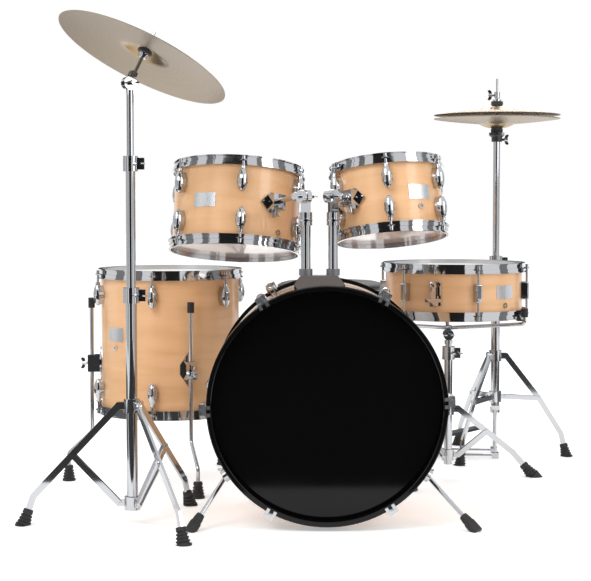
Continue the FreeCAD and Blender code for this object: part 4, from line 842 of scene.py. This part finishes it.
def light_world():
    world = bpy.data.worlds.new("soft_box")
    bpy.context.scene.world = world
    world.use_nodes = True
    tree = world.node_tree
    background = tree.nodes["Background"]
    seen = tree.nodes.new("ShaderNodeBackground")
    seen.inputs["Color"].default_value = (1, 1, 1, 1)
    seen.inputs["Strength"].default_value = 1.0
    coordinates = tree.nodes.new("ShaderNodeTexCoord")
    split = tree.nodes.new("ShaderNodeSeparateXYZ")
    tree.links.new(coordinates.outputs["Generated"], split.inputs[0])
    levels = [(0.0, 0.6), (0.5, 0.75), (0.62, 0.95), (0.74, 0.9), (0.80, 0.3), (0.88, 0.95), (1.0, 1.0)]
    ramp = colour_ramp(tree, [(position, (level, level, level)) for position, level in levels])
    height = tree.nodes.new("ShaderNodeMapRange")
    height.inputs["From Min"].default_value = -1
    tree.links.new(split.outputs["Z"], height.inputs["Value"])
    tree.links.new(height.outputs["Result"], ramp.inputs["Fac"])
    tree.links.new(ramp.outputs["Color"], background.inputs["Color"])
    background.inputs["Strength"].default_value = 0.95
    mix = tree.nodes.new("ShaderNodeMixShader")
    tree.links.new(seen_by(tree), mix.inputs["Fac"])
    tree.links.new(background.outputs[0], mix.inputs[1])
    tree.links.new(seen.outputs[0], mix.inputs[2])
    tree.links.new(mix.outputs[0], tree.nodes["World Output"].inputs["Surface"])


def staged(name, corners, material):
    mesh = bpy.data.meshes.new(name)
    mesh.from_pydata([tuple(corner) for corner in corners], [], [(0, 1, 2, 3)])
    mesh.materials.append(material)
    sheet = bpy.data.objects.new(name, mesh)
    bpy.context.scene.collection.objects.link(sheet)
    return sheet


def flat_material(name, level, roughness):
    material = bpy.data.materials.new(name)
    material.use_nodes = True
    shader = material.node_tree.nodes["Principled BSDF"]
    shader.inputs["Base Color"].default_value = (level, level, level, 1)
    shader.inputs["Roughness"].default_value = roughness
    return material, shader


def lay_floor():
    paper, shader = flat_material("white_paper", 0.9, 0.9)
    shader.inputs["Emission Color"].default_value = (1, 1, 1, 1)
    tree = paper.node_tree
    lift = tree.nodes.new("ShaderNodeMath")
    lift.operation = "MULTIPLY"
    lift.inputs[1].default_value = 0.34
    tree.links.new(seen_by(tree), lift.inputs[0])
    tree.links.new(lift.outputs[0], shader.inputs["Emission Strength"])
    staged("floor", [(x * FLOOR_REACH, y * FLOOR_REACH, -FLOOR_DROP)
                     for x, y in ((-1, -1), (1, -1), (1, 1), (-1, 1))], paper)


def hang_cloths():
    """Dark cloths round the set, seen only by glossy rays, give chrome its dark stripes."""
    def cloth(number, corners, level):
        flag = staged(f"cloth_{number}", corners, flat_material(f"dark_cloth_{number}", level, 1)[0])
        flag.visible_camera = flag.visible_diffuse = flag.visible_shadow = False
        flag.visible_transmission = False

    def laid(x0, x1, y0, y1):
        return [(x0, y0, CLOTH_LIFT), (x1, y0, CLOTH_LIFT), (x1, y1, CLOTH_LIFT), (x0, y1, CLOTH_LIFT)]

    standing = ((-96, 3.6, 2.6, 0.012), (-52, 1.0, 2.4, 0.3), (-140, 1.0, 2.4, 0.25),
                (-8, 1.3, 2.2, 0.3), (188, 1.3, 2.2, 0.3), (35, 1.3, 2.2, 0.02),
                (145, 1.3, 2.2, 0.02), (90, 2.4, 2.2, 0.04))
    for number, (bearing, width, top, level) in enumerate(standing):
        turn = Matrix.Rotation(math.radians(bearing), 4, "Z")
        cloth(number, [turn @ Vector((CLOTH_DISTANCE, side * width / 2, z))
                       for side, z in ((-1, 0), (1, 0), (1, top), (-1, top))], level)
    cloth(8, laid(-2.3, 2.3, -1.06, -CLOTH_DISTANCE), 0.012)
    for number, side in ((9, -1), (10, 1)):
        cloth(number, laid(side * 1.3, side * 3.4, -0.9, 2.5), 0.1)


def add_lamps():
    for name, at, aim_z, size, power in (("key", (-1.8, -2.6, 3.0), 0.5, (1.6, 1.6), 56),
                                         ("fill", (2.6, -2.2, 1.8), 0.5, (1.2, 2.0), 26),
                                         ("rim", (0.4, 2.8, 2.6), 0.6, (2.4, 1.0), 34)):
        data = bpy.data.lights.new(name, "AREA")
        data.shape = "RECTANGLE"
        data.size, data.size_y = size
        data.energy = power
        light = bpy.data.objects.new(name, data)
        bpy.context.scene.collection.objects.link(light)
        light.location = at
        light.rotation_mode = "QUATERNION"
        light.rotation_quaternion = (Vector(at) - Vector((0, 0, aim_z))).to_track_quat("Z", "Y")


def add_camera():
    camera = bpy.data.cameras.new("camera")
    camera.sensor_width = 36
    camera.lens = 94.4
    camera.clip_end = 100
    eye = bpy.data.objects.new("camera", camera)
    bpy.context.scene.collection.objects.link(eye)
    eye.location = (-0.080, -4.0012, 0.731)
    eye.rotation_euler = (math.radians(90 - 3.34), 0, 0)
    bpy.context.scene.camera = eye
    bpy.context.scene.view_settings.view_transform = "Standard"


dress_drums()
dress_cymbals()
dress_metal()
dress_throne()
add_ratchets()
add_snare_wires()
add_hat_chain()
light_world()
lay_floor()
hang_cloths()
add_lamps()
add_camera()
